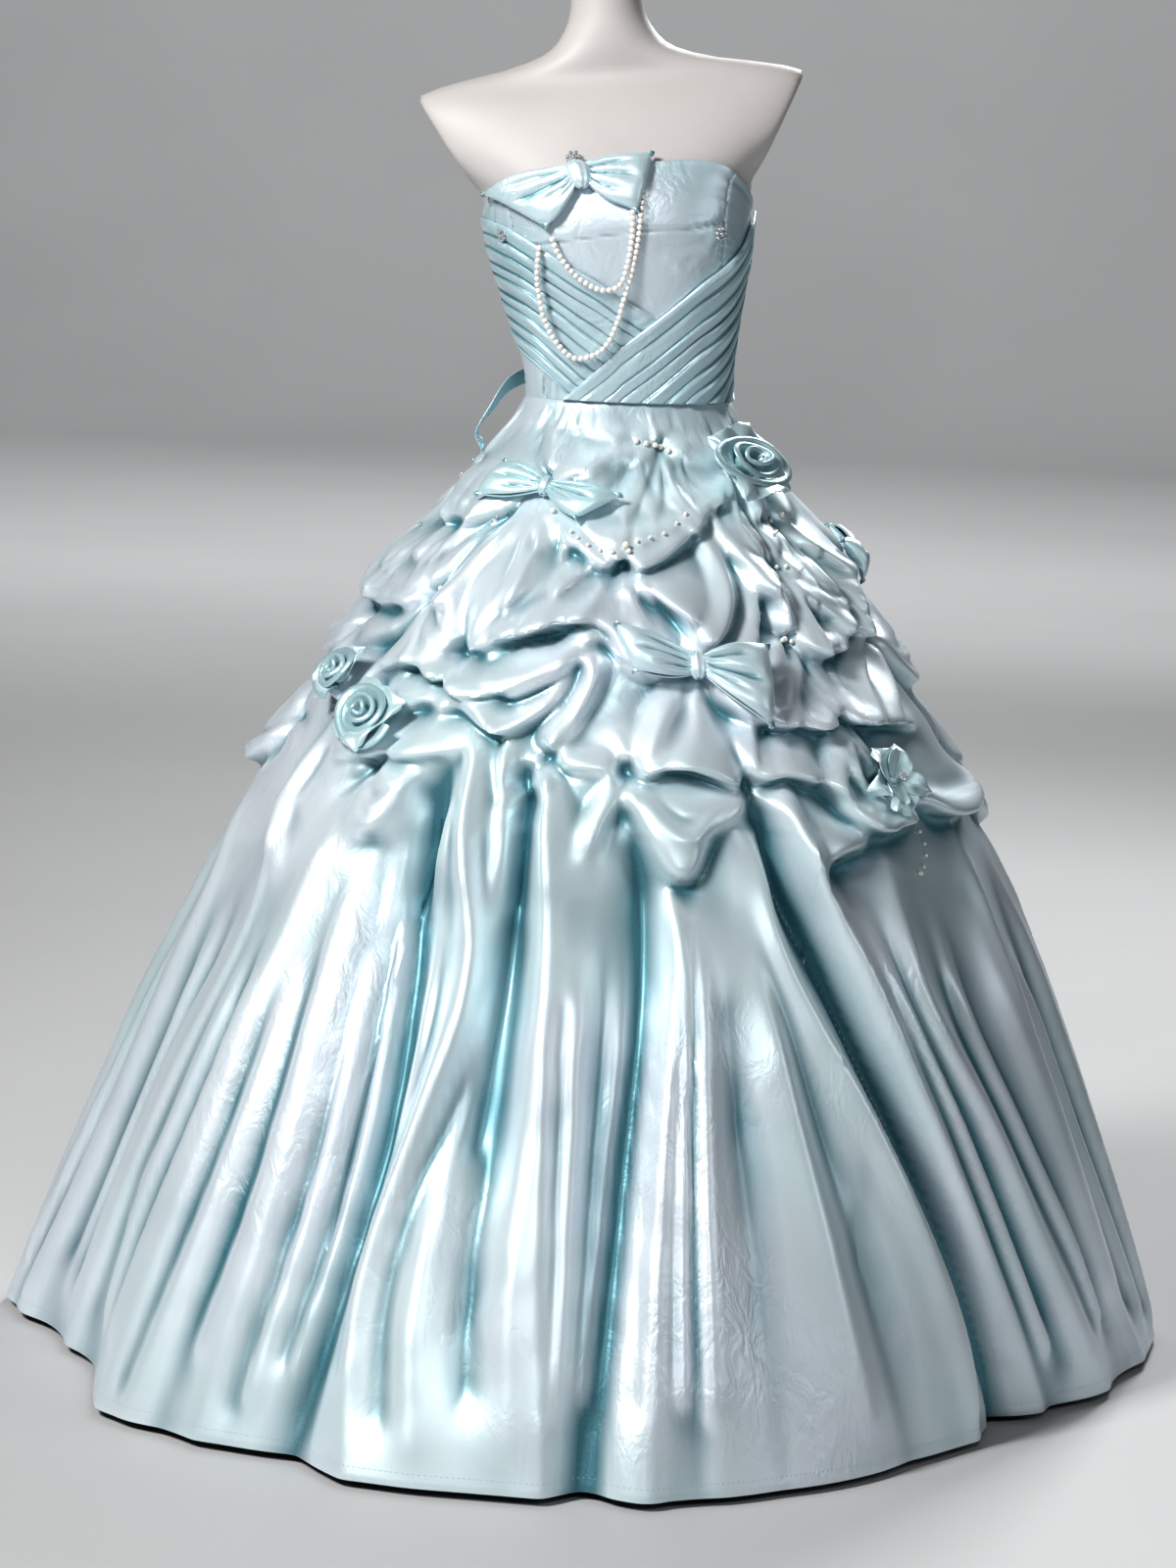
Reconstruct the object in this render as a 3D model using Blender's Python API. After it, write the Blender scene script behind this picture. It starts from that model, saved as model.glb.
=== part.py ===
"""A strapless satin ball gown with picked-up swags, worn by a limbless dress form on a pole stand.

The front faces -Y, +Z is up, lengths are metres and angles are degrees turned from -Y towards +X.
"""
import math
from collections import namedtuple

import bmesh
import bpy
import numpy as np
from mathutils import Matrix, Vector
from mathutils.bvhtree import BVHTree

# ---- driving dimensions ----
WAIST_HEIGHT = 1.000
HEM_HEIGHT = 0.009
CLOTH_WALL = 0.0020
RIBBON_WALL = 0.0014
SEAM_GAP = 0.0003
SEAT_GAP = 0.0008
FORM_CLEARANCE = 0.0024
LAYER_CLEARANCE = 0.0016
PLEAT_RELIEF = 0.0042
BODY_LEAN = -0.0945
SHOULDER_TILT = 0.105
SECTION_POWER = 2.3
FORM_COLUMNS = 36
SKIRT_COLUMNS = 90
GORE_COUNT = 6
DRAPE_FULLNESS = 1.9
LONG_FULLNESS = 1.25
DRAPE_DEEPEST = -0.030
DRAPE_PROUDEST = 0.048
HANG_SHARE = 0.30
POLE_RADIUS = 0.0125
BASE_RADIUS = 0.180
BASE_THICKNESS = 0.012
PEARL_RADIUS = 0.0028

BODICE_OUT = FORM_CLEARANCE + CLOTH_WALL
WRAP_IN = BODICE_OUT + LAYER_CLEARANCE
WRAP_OUT = WRAP_IN + CLOTH_WALL

# ---- the dress form: half widths and depths of its level sections ----
Section = namedtuple("Section", "height half_width front back")
FORM_SECTIONS = (
    Section(0.720, 0.128, 0.096, 0.108),
    Section(0.800, 0.146, 0.106, 0.122),
    Section(0.870, 0.138, 0.102, 0.118),
    Section(0.940, 0.120, 0.090, 0.100),
    Section(1.000, 0.1030, 0.0790, 0.0830),
    Section(1.050, 0.1060, 0.0850, 0.0860),
    Section(1.100, 0.1165, 0.0975, 0.0910),
    Section(1.150, 0.1285, 0.1120, 0.0960),
    Section(1.185, 0.1330, 0.1145, 0.0980),
    Section(1.215, 0.1400, 0.1060, 0.0985),
    Section(1.228, 0.1500, 0.1000, 0.0980),
    Section(1.240, 0.1650, 0.0930, 0.0970),
    Section(1.265, 0.1950, 0.0800, 0.0930),
    Section(1.290, 0.2080, 0.0680, 0.0860),
    Section(1.310, 0.2080, 0.0550, 0.0750),
    Section(1.323, 0.1960, 0.0430, 0.0620),
    Section(1.333, 0.1600, 0.0380, 0.0540),
    Section(1.343, 0.1050, 0.0390, 0.0500),
    Section(1.357, 0.0640, 0.0410, 0.0470),
    Section(1.378, 0.0450, 0.0410, 0.0440),
    Section(1.405, 0.0365, 0.0390, 0.0410),
    Section(1.450, 0.0355, 0.0380, 0.0400),
)
# flat arm cuts: how far out the body reaches at each height
ARM_CUT = ((1.205, 0.300), (1.212, 0.139), (1.225, 0.146), (1.318, 0.197), (1.345, 0.212))

# ---- the bodice: height of its top edge round the body ----
NECKLINE = (
    (0, 1.239), (24, 1.240), (40, 1.234), (56, 1.222), (76, 1.203), (90, 1.194), (130, 1.185), (180, 1.180),
)
BODICE_ROWS = 8

# ---- the skirt: its mean radius, and the plan of its hem ----
BELL = (
    (1.000, 0.1065), (0.975, 0.121), (0.940, 0.146), (0.900, 0.180), (0.860, 0.213), (0.820, 0.247),
    (0.780, 0.273), (0.740, 0.294), (0.700, 0.318), (0.660, 0.345), (0.620, 0.368), (0.580, 0.382),
    (0.540, 0.397), (0.500, 0.415), (0.450, 0.438), (0.400, 0.461), (0.300, 0.502), (0.200, 0.543),
    (0.100, 0.582), (0.009, 0.613),
)
WAIST_FRONT_SHARE = 0.774
WAIST_BACK_SHARE = 0.812
HEM_PLAN = (
    (-180, 0.612), (-165, 0.585), (-150, 0.606), (-138, 0.588), (-124, 0.614), (-108, 0.592), (-96, 0.622),
    (-90, 0.622), (-81, 0.568), (-67, 0.555), (-52, 0.610), (-39, 0.606), (-28, 0.608), (-17, 0.624),
    (-4, 0.615), (6, 0.618), (18, 0.602), (30, 0.572), (48, 0.527), (60, 0.526), (69, 0.548), (80, 0.566),
    (90, 0.596), (100, 0.604), (113, 0.582), (127, 0.612), (142, 0.590), (158, 0.616), (170, 0.594),
)
SKIRT_HEIGHTS = (
    1.000, 0.978, 0.952, 0.926, 0.900, 0.872, 0.844, 0.816, 0.788, 0.760, 0.732, 0.704, 0.676, 0.648,
    0.618, 0.582, 0.530, 0.440, 0.320, 0.170, HEM_HEIGHT,
)

# ---- hand-stitched pick-ups: where the satin is caught up to the layer below ----
PickUp = namedtuple("PickUp", "angle height depth spread")
PICK_UPS = (
    PickUp(-82, 0.929, 0.006, 0.024), PickUp(-30, 0.921, 0.010, 0.028), PickUp(13, 0.957, 0.006, 0.024),
    PickUp(45, 0.940, 0.008, 0.026), PickUp(-92, 0.865, 0.010, 0.028), PickUp(-49, 0.806, 0.010, 0.026),
    PickUp(0, 0.850, 0.012, 0.028), PickUp(60, 0.885, 0.010, 0.026), PickUp(46, 0.844, 0.008, 0.024),
    PickUp(39, 0.778, 0.012, 0.028), PickUp(70, 0.774, 0.012, 0.028), PickUp(-34, 0.753, 0.018, 0.030),
    PickUp(15, 0.752, 0.016, 0.030), PickUp(92, 0.836, 0.012, 0.028), PickUp(-50, 0.690, 0.014, 0.034),
    PickUp(-11, 0.668, 0.018, 0.028), PickUp(2, 0.657, 0.018, 0.028), PickUp(22, 0.646, 0.018, 0.028),
    PickUp(44, 0.706, 0.014, 0.026), PickUp(50, 0.636, 0.016, 0.034), PickUp(-43, 0.639, 0.012, 0.026),
    PickUp(-80, 0.660, 0.014, 0.030), PickUp(84, 0.640, 0.016, 0.030), PickUp(-72, 0.770, 0.012, 0.028),
    PickUp(122, 0.925, 0.008, 0.026), PickUp(165, 0.935, 0.008, 0.026), PickUp(-150, 0.928, 0.008, 0.026),
    PickUp(-118, 0.920, 0.008, 0.026), PickUp(112, 0.800, 0.014, 0.030), PickUp(145, 0.830, 0.014, 0.030),
    PickUp(180, 0.800, 0.014, 0.030), PickUp(-148, 0.820, 0.014, 0.030), PickUp(-118, 0.790, 0.014, 0.030),
    PickUp(110, 0.655, 0.016, 0.030), PickUp(134, 0.675, 0.016, 0.030), PickUp(160, 0.650, 0.016, 0.030),
    PickUp(-174, 0.670, 0.016, 0.030), PickUp(-150, 0.648, 0.016, 0.030), PickUp(-126, 0.672, 0.016, 0.030),
    PickUp(-102, 0.650, 0.016, 0.030),
)

# ---- folds of the upper skirt: path in angle and height, how far it stands out, and the width of
# ---- its flank to the left and to the right of the path's direction ----
Fold = namedtuple("Fold", "path proud left right")
DRAPE_FOLDS = (
    Fold(((-28, 0.922), (-17, 0.936), (-5, 0.950), (11, 0.958)), 0.010, 0.022, 0.010),
    Fold(((15, 0.957), (25, 0.950), (42, 0.942)), 0.009, 0.020, 0.010),
    Fold(
        ((-28, 0.912), (-15, 0.875), (-6, 0.858), (2, 0.855), (12, 0.868), (30, 0.912), (40, 0.930)),
        0.016, 0.034, 0.012,
    ),
    Fold(((27, 0.905), (33, 0.862), (38, 0.820), (39, 0.785)), 0.014, 0.020, 0.012),
    Fold(((2, 0.842), (8, 0.830), (15, 0.812), (18, 0.790), (16, 0.762)), 0.016, 0.022, 0.018),
    Fold(((-49, 0.803), (-42, 0.818), (-38, 0.863), (-32, 0.910)), 0.010, 0.016, 0.018),
    Fold(((-34, 0.758), (-31, 0.800), (-29, 0.846), (-28, 0.905)), 0.012, 0.014, 0.016),
    Fold(
        ((-32, 0.768), (-22, 0.783), (-12, 0.800), (-4, 0.799), (0, 0.775), (8, 0.750)),
        0.017, 0.024, 0.013,
    ),
    Fold(
        ((-56, 0.716), (-47, 0.750), (-37, 0.742), (-24, 0.730), (-13, 0.752), (-6, 0.792)),
        0.018, 0.026, 0.013,
    ),
    Fold(((-44, 0.708), (-30, 0.712), (-20, 0.696), (-12, 0.728), (-7, 0.775)), 0.016, 0.020, 0.012),
    Fold(((-47, 0.790), (-51, 0.752), (-57, 0.715)), 0.012, 0.018, 0.014),
    Fold(((-11, 0.672), (-8, 0.708), (-5, 0.750), (-6, 0.785)), 0.014, 0.022, 0.014),
    Fold(((-11, 0.668), (-5, 0.664), (1, 0.660)), 0.008, 0.018, 0.010),
    Fold(((3, 0.660), (9, 0.676), (15, 0.668), (21, 0.650)), 0.014, 0.018, 0.012),
    Fold(((23, 0.648), (28, 0.664), (34, 0.654), (42, 0.640)), 0.014, 0.018, 0.012),
    Fold(((3, 0.650), (6, 0.605), (10, 0.570), (14, 0.608), (21, 0.640)), 0.018, 0.020, 0.016),
    Fold(((25, 0.704), (33, 0.706), (43, 0.709), (57, 0.703), (68, 0.690)), 0.017, 0.020, 0.012),
    Fold(((43, 0.704), (42, 0.680), (38, 0.645), (44, 0.606), (52, 0.608), (58, 0.630)), 0.018, 0.018, 0.014),
    Fold(((31, 0.566), (36, 0.585), (44, 0.594)), 0.012, 0.016, 0.012),
    Fold(((17, 0.742), (24, 0.722), (32, 0.715), (39, 0.760)), 0.014, 0.022, 0.012),
    Fold(((47, 0.838), (55, 0.800), (66, 0.790), (72, 0.830), (90, 0.840)), 0.015, 0.022, 0.014),
    Fold(((39, 0.776), (48, 0.770), (58, 0.786), (62, 0.820)), 0.014, 0.018, 0.012),
    Fold(((62, 0.880), (70, 0.850), (80, 0.845), (91, 0.842)), 0.013, 0.020, 0.012),
    Fold(((70, 0.770), (80, 0.735), (90, 0.728), (104, 0.760), (112, 0.796)), 0.020, 0.026, 0.014),
    Fold(((52, 0.645), (62, 0.612), (74, 0.612), (84, 0.636)), 0.016, 0.024, 0.014),
    Fold(((-53, 0.650), (-44, 0.659), (-35, 0.664), (-27, 0.667)), 0.014, 0.016, 0.010),
    Fold(((-43, 0.634), (-39, 0.592), (-36, 0.612), (-33, 0.650)), 0.014, 0.016, 0.014),
    Fold(((-80, 0.925), (-70, 0.893), (-56, 0.884), (-42, 0.896), (-31, 0.916)), 0.012, 0.024, 0.012),
    Fold(((-92, 0.860), (-82, 0.815), (-68, 0.798), (-56, 0.800), (-50, 0.806)), 0.015, 0.024, 0.014),
    Fold(((-72, 0.766), (-68, 0.730), (-62, 0.712), (-54, 0.700)), 0.014, 0.020, 0.014),
    Fold(((-118, 0.786), (-106, 0.742), (-92, 0.732), (-78, 0.750), (-72, 0.768)), 0.018, 0.026, 0.014),
    Fold(((-102, 0.646), (-94, 0.612), (-86, 0.622), (-80, 0.656)), 0.022, 0.024, 0.014),
)

# ---- plain swags of the sides and the back, hanging between two pick-ups ----
Swag = namedtuple("Swag", "start end drop proud")
BACK_SWAGS = (
    Swag((92, 0.842), (122, 0.922), 0.030, 0.012), Swag((122, 0.922), (165, 0.932), 0.062, 0.016),
    Swag((165, 0.932), (210, 0.925), 0.064, 0.016), Swag((210, 0.925), (242, 0.917), 0.050, 0.015),
    Swag((242, 0.917), (268, 0.866), 0.034, 0.013), Swag((112, 0.798), (145, 0.828), 0.066, 0.018),
    Swag((145, 0.828), (180, 0.798), 0.066, 0.018), Swag((180, 0.798), (212, 0.818), 0.064, 0.018),
    Swag((212, 0.818), (242, 0.788), 0.062, 0.018), Swag((84, 0.638), (110, 0.652), 0.055, 0.019),
    Swag((110, 0.652), (134, 0.672), 0.060, 0.019), Swag((134, 0.672), (160, 0.648), 0.062, 0.019),
    Swag((160, 0.648), (186, 0.668), 0.060, 0.019), Swag((186, 0.668), (210, 0.646), 0.062, 0.019),
    Swag((210, 0.646), (234, 0.670), 0.058, 0.019), Swag((234, 0.670), (258, 0.648), 0.060, 0.019),
)
SWAG_FLANK_ABOVE = 0.028
SWAG_FLANK_BELOW = 0.013

# ---- long folds from the lowest pick-ups to the hem; their flanks widen with the skirt ----
LONG_FOLDS = (
    Fold(((-80, 0.630), (-77, 0.490), (-80, 0.300), (-86, 0.009)), 0.014, 0.050, 0.030),
    Fold(((-60, 0.650), (-57, 0.480), (-63, 0.290), (-74, 0.009)), 0.016, 0.045, 0.026),
    Fold(((-44, 0.620), (-47, 0.500), (-48, 0.310), (-52, 0.009)), 0.016, 0.040, 0.028),
    Fold(((-38, 0.580), (-36, 0.330), (-39, 0.009)), 0.013, 0.035, 0.035),
    Fold(((-34, 0.650), (-31, 0.580), (-26, 0.300), (-29, 0.009)), -0.015, 0.026, 0.026),
    Fold(((-24, 0.670), (-21, 0.590), (-18, 0.440), (-24, 0.200), (-22, 0.009)), 0.014, 0.030, 0.035),
    Fold(((-16, 0.660), (-14, 0.600), (-14, 0.480), (-15, 0.300)), -0.014, 0.020, 0.020),
    Fold(((-11, 0.655), (-9, 0.550), (-7, 0.370), (-4, 0.009)), 0.014, 0.040, 0.024),
    Fold(((3, 0.620), (5, 0.500), (2, 0.260), (-1, 0.009)), -0.012, 0.026, 0.030),
    Fold(((8, 0.560), (9, 0.480), (7, 0.300), (6, 0.009)), 0.013, 0.045, 0.018),
    Fold(((13, 0.560), (12, 0.340), (12, 0.009)), 0.007, 0.040, 0.040),
    Fold(((23, 0.640), (25, 0.560), (33, 0.430), (43, 0.250), (54, 0.009)), -0.018, 0.030, 0.034),
    Fold(((23, 0.600), (24, 0.500), (34, 0.330), (44, 0.130), (46, 0.009)), 0.012, 0.030, 0.045),
    Fold(((29, 0.655), (31, 0.560), (38, 0.440), (45, 0.300), (60, 0.009)), 0.016, 0.036, 0.026),
    Fold(((46, 0.580), (46, 0.440), (56, 0.300), (72, 0.009)), 0.015, 0.044, 0.026),
    Fold(((66, 0.600), (70, 0.400), (84, 0.009)), 0.015, 0.045, 0.035),
    Fold(((88, 0.610), (92, 0.350), (98, 0.009)), 0.015, 0.045, 0.035),
    Fold(((108, 0.620), (110, 0.350), (112, 0.009)), 0.015, 0.040, 0.035),
    Fold(((122, 0.600), (124, 0.350), (127, 0.009)), 0.015, 0.045, 0.035),
    Fold(((136, 0.630), (137, 0.350), (140, 0.009)), 0.015, 0.038, 0.035),
    Fold(((150, 0.600), (152, 0.350), (155, 0.009)), 0.016, 0.045, 0.035),
    Fold(((163, 0.620), (165, 0.350), (169, 0.009)), 0.015, 0.038, 0.035),
    Fold(((178, 0.600), (180, 0.350), (184, 0.009)), 0.016, 0.045, 0.035),
    Fold(((192, 0.630), (195, 0.350), (198, 0.009)), 0.015, 0.038, 0.035),
    Fold(((207, 0.600), (209, 0.350), (211, 0.009)), 0.016, 0.045, 0.035),
    Fold(((222, 0.620), (223, 0.350), (225, 0.009)), 0.015, 0.038, 0.035),
    Fold(((237, 0.600), (238, 0.350), (239, 0.009)), 0.016, 0.045, 0.035),
    Fold(((252, 0.610), (253, 0.350), (254, 0.009)), 0.015, 0.038, 0.035),
    Fold(((266, 0.590), (266, 0.350), (266, 0.009)), 0.014, 0.038, 0.035),
)

# ---- pleated wraps: the top edge, and the pitch of the pleats at the side and at the far end ----
Wrap = namedtuple("Wrap", "name side_angle top_edge side_pitch end_pitch pleats")
RIGHT_WRAP = Wrap(
    "wrap_right", 90,
    (
        (-36, 1.001), (-28, 1.011), (-8, 1.043), (2, 1.066), (13, 1.085), (26, 1.106), (38, 1.124),
        (50, 1.137),
        (65, 1.155), (76, 1.173), (90, 1.188),
    ),
    0.0195, 0.0175, 9,
)
LEFT_WRAP = Wrap(
    "wrap_left", -90,
    (
        (-90, 1.190), (-62, 1.190), (-45, 1.186), (-31, 1.170), (-20, 1.150), (-8, 1.124), (4, 1.101),
        (13, 1.088),
        (22, 1.075), (30, 1.062),
    ),
    0.0200, 0.0190, 8,
)
WRAP_COLUMNS = 12
WRAP_PARTING = 0.0028

# ---- bows: corner points of each loop from the knot, across and up, on the surface that carries it
Bow = namedtuple(
    "Bow", "name angle height left_top left_bottom right_top right_bottom bulge knot_width knot_height"
)
NECK_BOW = Bow(
    "neck_bow", -11, 1.229,
    (-0.110, -0.005), (-0.038, -0.047), (0.037, 0.015), (0.037, -0.034), 0.011, 0.0085, 0.0125,
)
SKIRT_BOWS = (
    Bow(
        "waist_bow", -30, 0.921, (-0.068, 0.020), (-0.060, -0.028), (0.073, 0.004), (0.062, -0.034),
        0.009, 0.006, 0.010,
    ),
    Bow(
        "hip_bow", 15, 0.754, (-0.078, 0.046), (-0.064, -0.006), (0.074, 0.022), (0.068, -0.066),
        0.012, 0.008, 0.013,
    ),
    Bow(
        "side_bow", 93, 0.838, (-0.052, 0.020), (-0.050, -0.022), (0.052, 0.030), (0.050, -0.020),
        0.009, 0.006, 0.010,
    ),
)
KNOT_DEPTH = 0.0065
LOOP_STEPS = 11
LOOP_ROWS = 5

# ---- rolled roses and the open flower ----
Rose = namedtuple("Rose", "name angle height radius turns")
ROSES = (
    Rose("rose_waist", 52, 0.938, 0.051, 2.6),
    Rose("rose_hip_front", -46, 0.680, 0.046, 2.5),
    Rose("rose_hip_side", -59, 0.712, 0.035, 2.3),
)
ROSE_STEPS = 26
FLOWER_ANGLE = 50
FLOWER_HEIGHT = 0.640
FLOWER_RADIUS = 0.043
FLOWER_PETALS = 5

# ---- pearl strands and ribbon tie ----
STRAND_SHORT = (
    (-24, 1.170), (-22, 1.158), (-16, 1.141), (-8, 1.130), (-2, 1.138), (1, 1.168), (2, 1.190),
)
STRAND_LONG = (
    (-30, 1.160), (-32, 1.134), (-32, 1.094), (-26, 1.063), (-19, 1.055), (-10, 1.068), (-4, 1.096),
    (0, 1.138),
    (4, 1.172), (6, 1.190),
)
STRAND_FACING = -12
STRAND_FINENESS = 4
STRAND_BRIDGING = 150
# the ribbon: laid round the waist, then free in the air, then over the skirt
RIBBON_ON_BODICE = ((-172, 1.022, 0.0004), (-152, 1.023, 0.0025), (-133, 1.024, 0.0060))
RIBBON_FREE = ((-0.1240, 0.0400, 1.009), (-0.1440, 0.0260, 0.982), (-0.1570, 0.0250, 0.958))
RIBBON_ON_SKIRT = ((-101, 0.936), (-106, 0.912))
RIBBON_HALF_WIDTH = 0.008
RIBBON_REST = 0.008

SATIN = (0.560, 0.810, 0.840, 1.0)
SATIN_DEEP = (0.440, 0.740, 0.780, 1.0)
FORM_WHITE = (0.850, 0.830, 0.810, 1.0)
STEEL = (0.700, 0.700, 0.710, 1.0)
PEARL = (0.900, 0.870, 0.830, 1.0)


def clear_scene():
    for thing in list(bpy.data.objects):
        bpy.data.objects.remove(thing, do_unlink=True)


def material_for(name, colour, roughness, metallic=0.0):
    material = bpy.data.materials.new(name + "_finish")
    material.use_nodes = True
    shader = material.node_tree.nodes["Principled BSDF"]
    shader.inputs["Base Color"].default_value = colour
    shader.inputs["Roughness"].default_value = roughness
    shader.inputs["Metallic"].default_value = metallic
    return material


def add_object(name, mesh, colour, roughness=0.35, metallic=0.0):
    thing = bpy.data.objects.new(name, mesh)
    thing.data.materials.append(material_for(name, colour, roughness, metallic))
    thing.data.shade_smooth()
    thing.data.set_sharp_from_angle(angle=math.radians(50))
    bpy.context.scene.collection.objects.link(thing)
    return thing


def mesh_from(name, points, faces):
    mesh = bpy.data.meshes.new(name)
    mesh.from_pydata([tuple(point) for point in points], [], faces)
    shape = bmesh.new()
    shape.from_mesh(mesh)
    bmesh.ops.recalc_face_normals(shape, faces=shape.faces)
    shape.to_mesh(mesh)
    shape.free()
    return mesh


def smoothstep(value, low, high):
    share = np.clip((value - low) / (high - low), 0.0, 1.0)
    return share * share * (3.0 - 2.0 * share)


def smooth_curve(points, steps_each):
    """A Catmull-Rom curve through the points, with both ends kept."""
    path = np.array(points, dtype=float)
    padded = np.vstack((2 * path[0] - path[1], path, 2 * path[-1] - path[-2]))
    result = []
    for index in range(len(path) - 1):
        before, start, end, after = padded[index : index + 4]
        for step in range(steps_each):
            t = step / steps_each
            result.append(
                0.5
                * (
                    2 * start
                    + (end - before) * t
                    + (2 * before - 5 * start + 4 * end - after) * t**2
                    + (3 * start - before - 3 * end + after) * t**3
                )
            )
    result.append(path[-1])
    return np.array(result)


def smooth_table(rows):
    """A function that reads a smooth curve through rows of a position and a value."""
    curve = smooth_curve(sorted(rows), 8)
    return lambda position: np.interp(position, curve[:, 0], curve[:, 1])


def grid_normals(grid):
    """Unit normals of a grid of points, rows running downwards and columns to the right."""
    normals = np.cross(np.gradient(grid, axis=1), -np.gradient(grid, axis=0))
    return normals / np.linalg.norm(normals, axis=2, keepdims=True)


def wall_mesh(name, outer, inner):
    """A closed wall between two grids of points with the same rows and columns."""
    rows, columns = outer.shape[:2]
    count = rows * columns

    def corner(side, row, column):
        return side * count + row * columns + column

    faces = []
    for row in range(rows - 1):
        for column in range(columns - 1):
            square = ((row, column), (row + 1, column), (row + 1, column + 1), (row, column + 1))
            falling = np.linalg.norm(outer[square[0]] - outer[square[2]])
            rising = np.linalg.norm(outer[square[1]] - outer[square[3]])
            if falling > rising:
                square = square[1:] + square[:1]
            for triangle in (square[:3], (square[0],) + square[2:]):
                faces.append([corner(0, *spot) for spot in triangle])
                faces.append([corner(1, *spot) for spot in reversed(triangle)])
    rim = [(0, column) for column in range(columns)]
    rim += [(row, columns - 1) for row in range(1, rows)]
    rim += [(rows - 1, column) for column in range(columns - 2, -1, -1)]
    rim += [(row, 0) for row in range(rows - 2, 0, -1)]
    for spot, following in zip(rim, rim[1:] + rim[:1]):
        faces.append([corner(0, *spot), corner(0, *following), corner(1, *following), corner(1, *spot)])
    points = np.concatenate((outer.reshape(-1, 3), inner.reshape(-1, 3)))
    return mesh_from(name, points, faces)


# ---- dress form and bodice ----
FORM_WIDTH = smooth_table([(s.height, s.half_width) for s in FORM_SECTIONS])
FORM_FRONT = smooth_table([(s.height, s.front) for s in FORM_SECTIONS])
FORM_BACK = smooth_table([(s.height, s.back) for s in FORM_SECTIONS])


def rounded(value, power):
    return np.sign(value) * np.abs(value) ** (2.0 / power)


def lean_and_tilt(x, y, height):
    """The body leans and its shoulders tip towards -X above the waist."""
    centre = BODY_LEAN * np.maximum(height - WAIST_HEIGHT, 0.0)
    tilt = SHOULDER_TILT * smoothstep(height, WAIST_HEIGHT + 0.02, WAIST_HEIGHT + 0.28)
    return np.stack((x + centre, y, height + tilt * x), axis=-1)


def body_skin(angle, height):
    """Points on the form's surface; the section is a rounded ellipse, deeper at the bust."""
    turn = np.radians(angle)
    depth = np.where(np.cos(turn) > 0, FORM_FRONT(height), FORM_BACK(height))
    power = SECTION_POWER - 0.3 * smoothstep(height, 1.34, 1.40)
    x = FORM_WIDTH(height) * rounded(np.sin(turn), power)
    reach = np.interp(height, *zip(*ARM_CUT))
    x = np.clip(x, -reach, reach)
    y = -depth * rounded(np.cos(turn), power)
    return lean_and_tilt(x, y, height)


def body_point(angle, height, out):
    """Points moved out from the form along its surface's normal."""
    angle, height = np.broadcast_arrays(np.asarray(angle, float), np.asarray(height, float))
    step_angle, step_height = 1.5, 0.004
    across = body_skin(angle + step_angle, height) - body_skin(angle - step_angle, height)
    upward = body_skin(angle, height + step_height) - body_skin(angle, height - step_height)
    normal = np.cross(across, upward)
    normal /= np.linalg.norm(normal, axis=-1, keepdims=True)
    reach = np.asarray(out, float) * np.ones(angle.shape)
    return body_skin(angle, height) + normal * np.expand_dims(reach, -1)


def build_form():
    angles = np.arange(FORM_COLUMNS) * 360.0 / FORM_COLUMNS
    heights = [section.height for section in FORM_SECTIONS]
    points = [point for height in heights for point in body_skin(angles, np.full(FORM_COLUMNS, height))]
    faces = [list(range(FORM_COLUMNS))]
    for ring in range(len(heights) - 1):
        for column in range(FORM_COLUMNS):
            low = ring * FORM_COLUMNS + column
            low_next = ring * FORM_COLUMNS + (column + 1) % FORM_COLUMNS
            faces.append([low, low_next, low_next + FORM_COLUMNS, low + FORM_COLUMNS])
    faces.append([(len(heights) - 1) * FORM_COLUMNS + column for column in range(FORM_COLUMNS)])
    mesh = mesh_from("form_torso", points, faces)
    return add_object("form_torso", mesh, FORM_WHITE, roughness=0.55)


def turned_mesh(name, profile, sides):
    """A solid of revolution about Z from a profile of radius and height that starts and ends on the axis."""
    points = [(0.0, 0.0, profile[0][1])]
    for radius, height in profile:
        for step in range(sides):
            turn = 2 * math.pi * step / sides
            points.append((radius * math.sin(turn), -radius * math.cos(turn), height))
    points.append((0.0, 0.0, profile[-1][1]))
    faces = []
    for step in range(sides):
        following = (step + 1) % sides
        faces.append([0, 1 + step, 1 + following])
        for ring in range(len(profile) - 1):
            start = 1 + ring * sides
            faces.append([start + step, start + sides + step, start + sides + following, start + following])
        last = 1 + (len(profile) - 1) * sides
        faces.append([last + step, len(points) - 1, last + following])
    return mesh_from(name, points, faces)


def build_stand():
    bevel = 0.003
    base_profile = (
        (BASE_RADIUS - bevel, 0.0), (BASE_RADIUS, bevel), (BASE_RADIUS, BASE_THICKNESS - 2 * bevel),
        (BASE_RADIUS - 3 * bevel, BASE_THICKNESS),
    )
    add_object("stand_base", turned_mesh("stand_base", base_profile, 40), STEEL, 0.3, 0.9)
    pole_bottom = BASE_THICKNESS + SEAM_GAP
    pole_top = FORM_SECTIONS[0].height - SEAM_GAP
    pole_profile = ((POLE_RADIUS, pole_bottom), (POLE_RADIUS, pole_top))
    add_object("stand_pole", turned_mesh("stand_pole", pole_profile, 16), STEEL, 0.25, 0.9)


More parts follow.
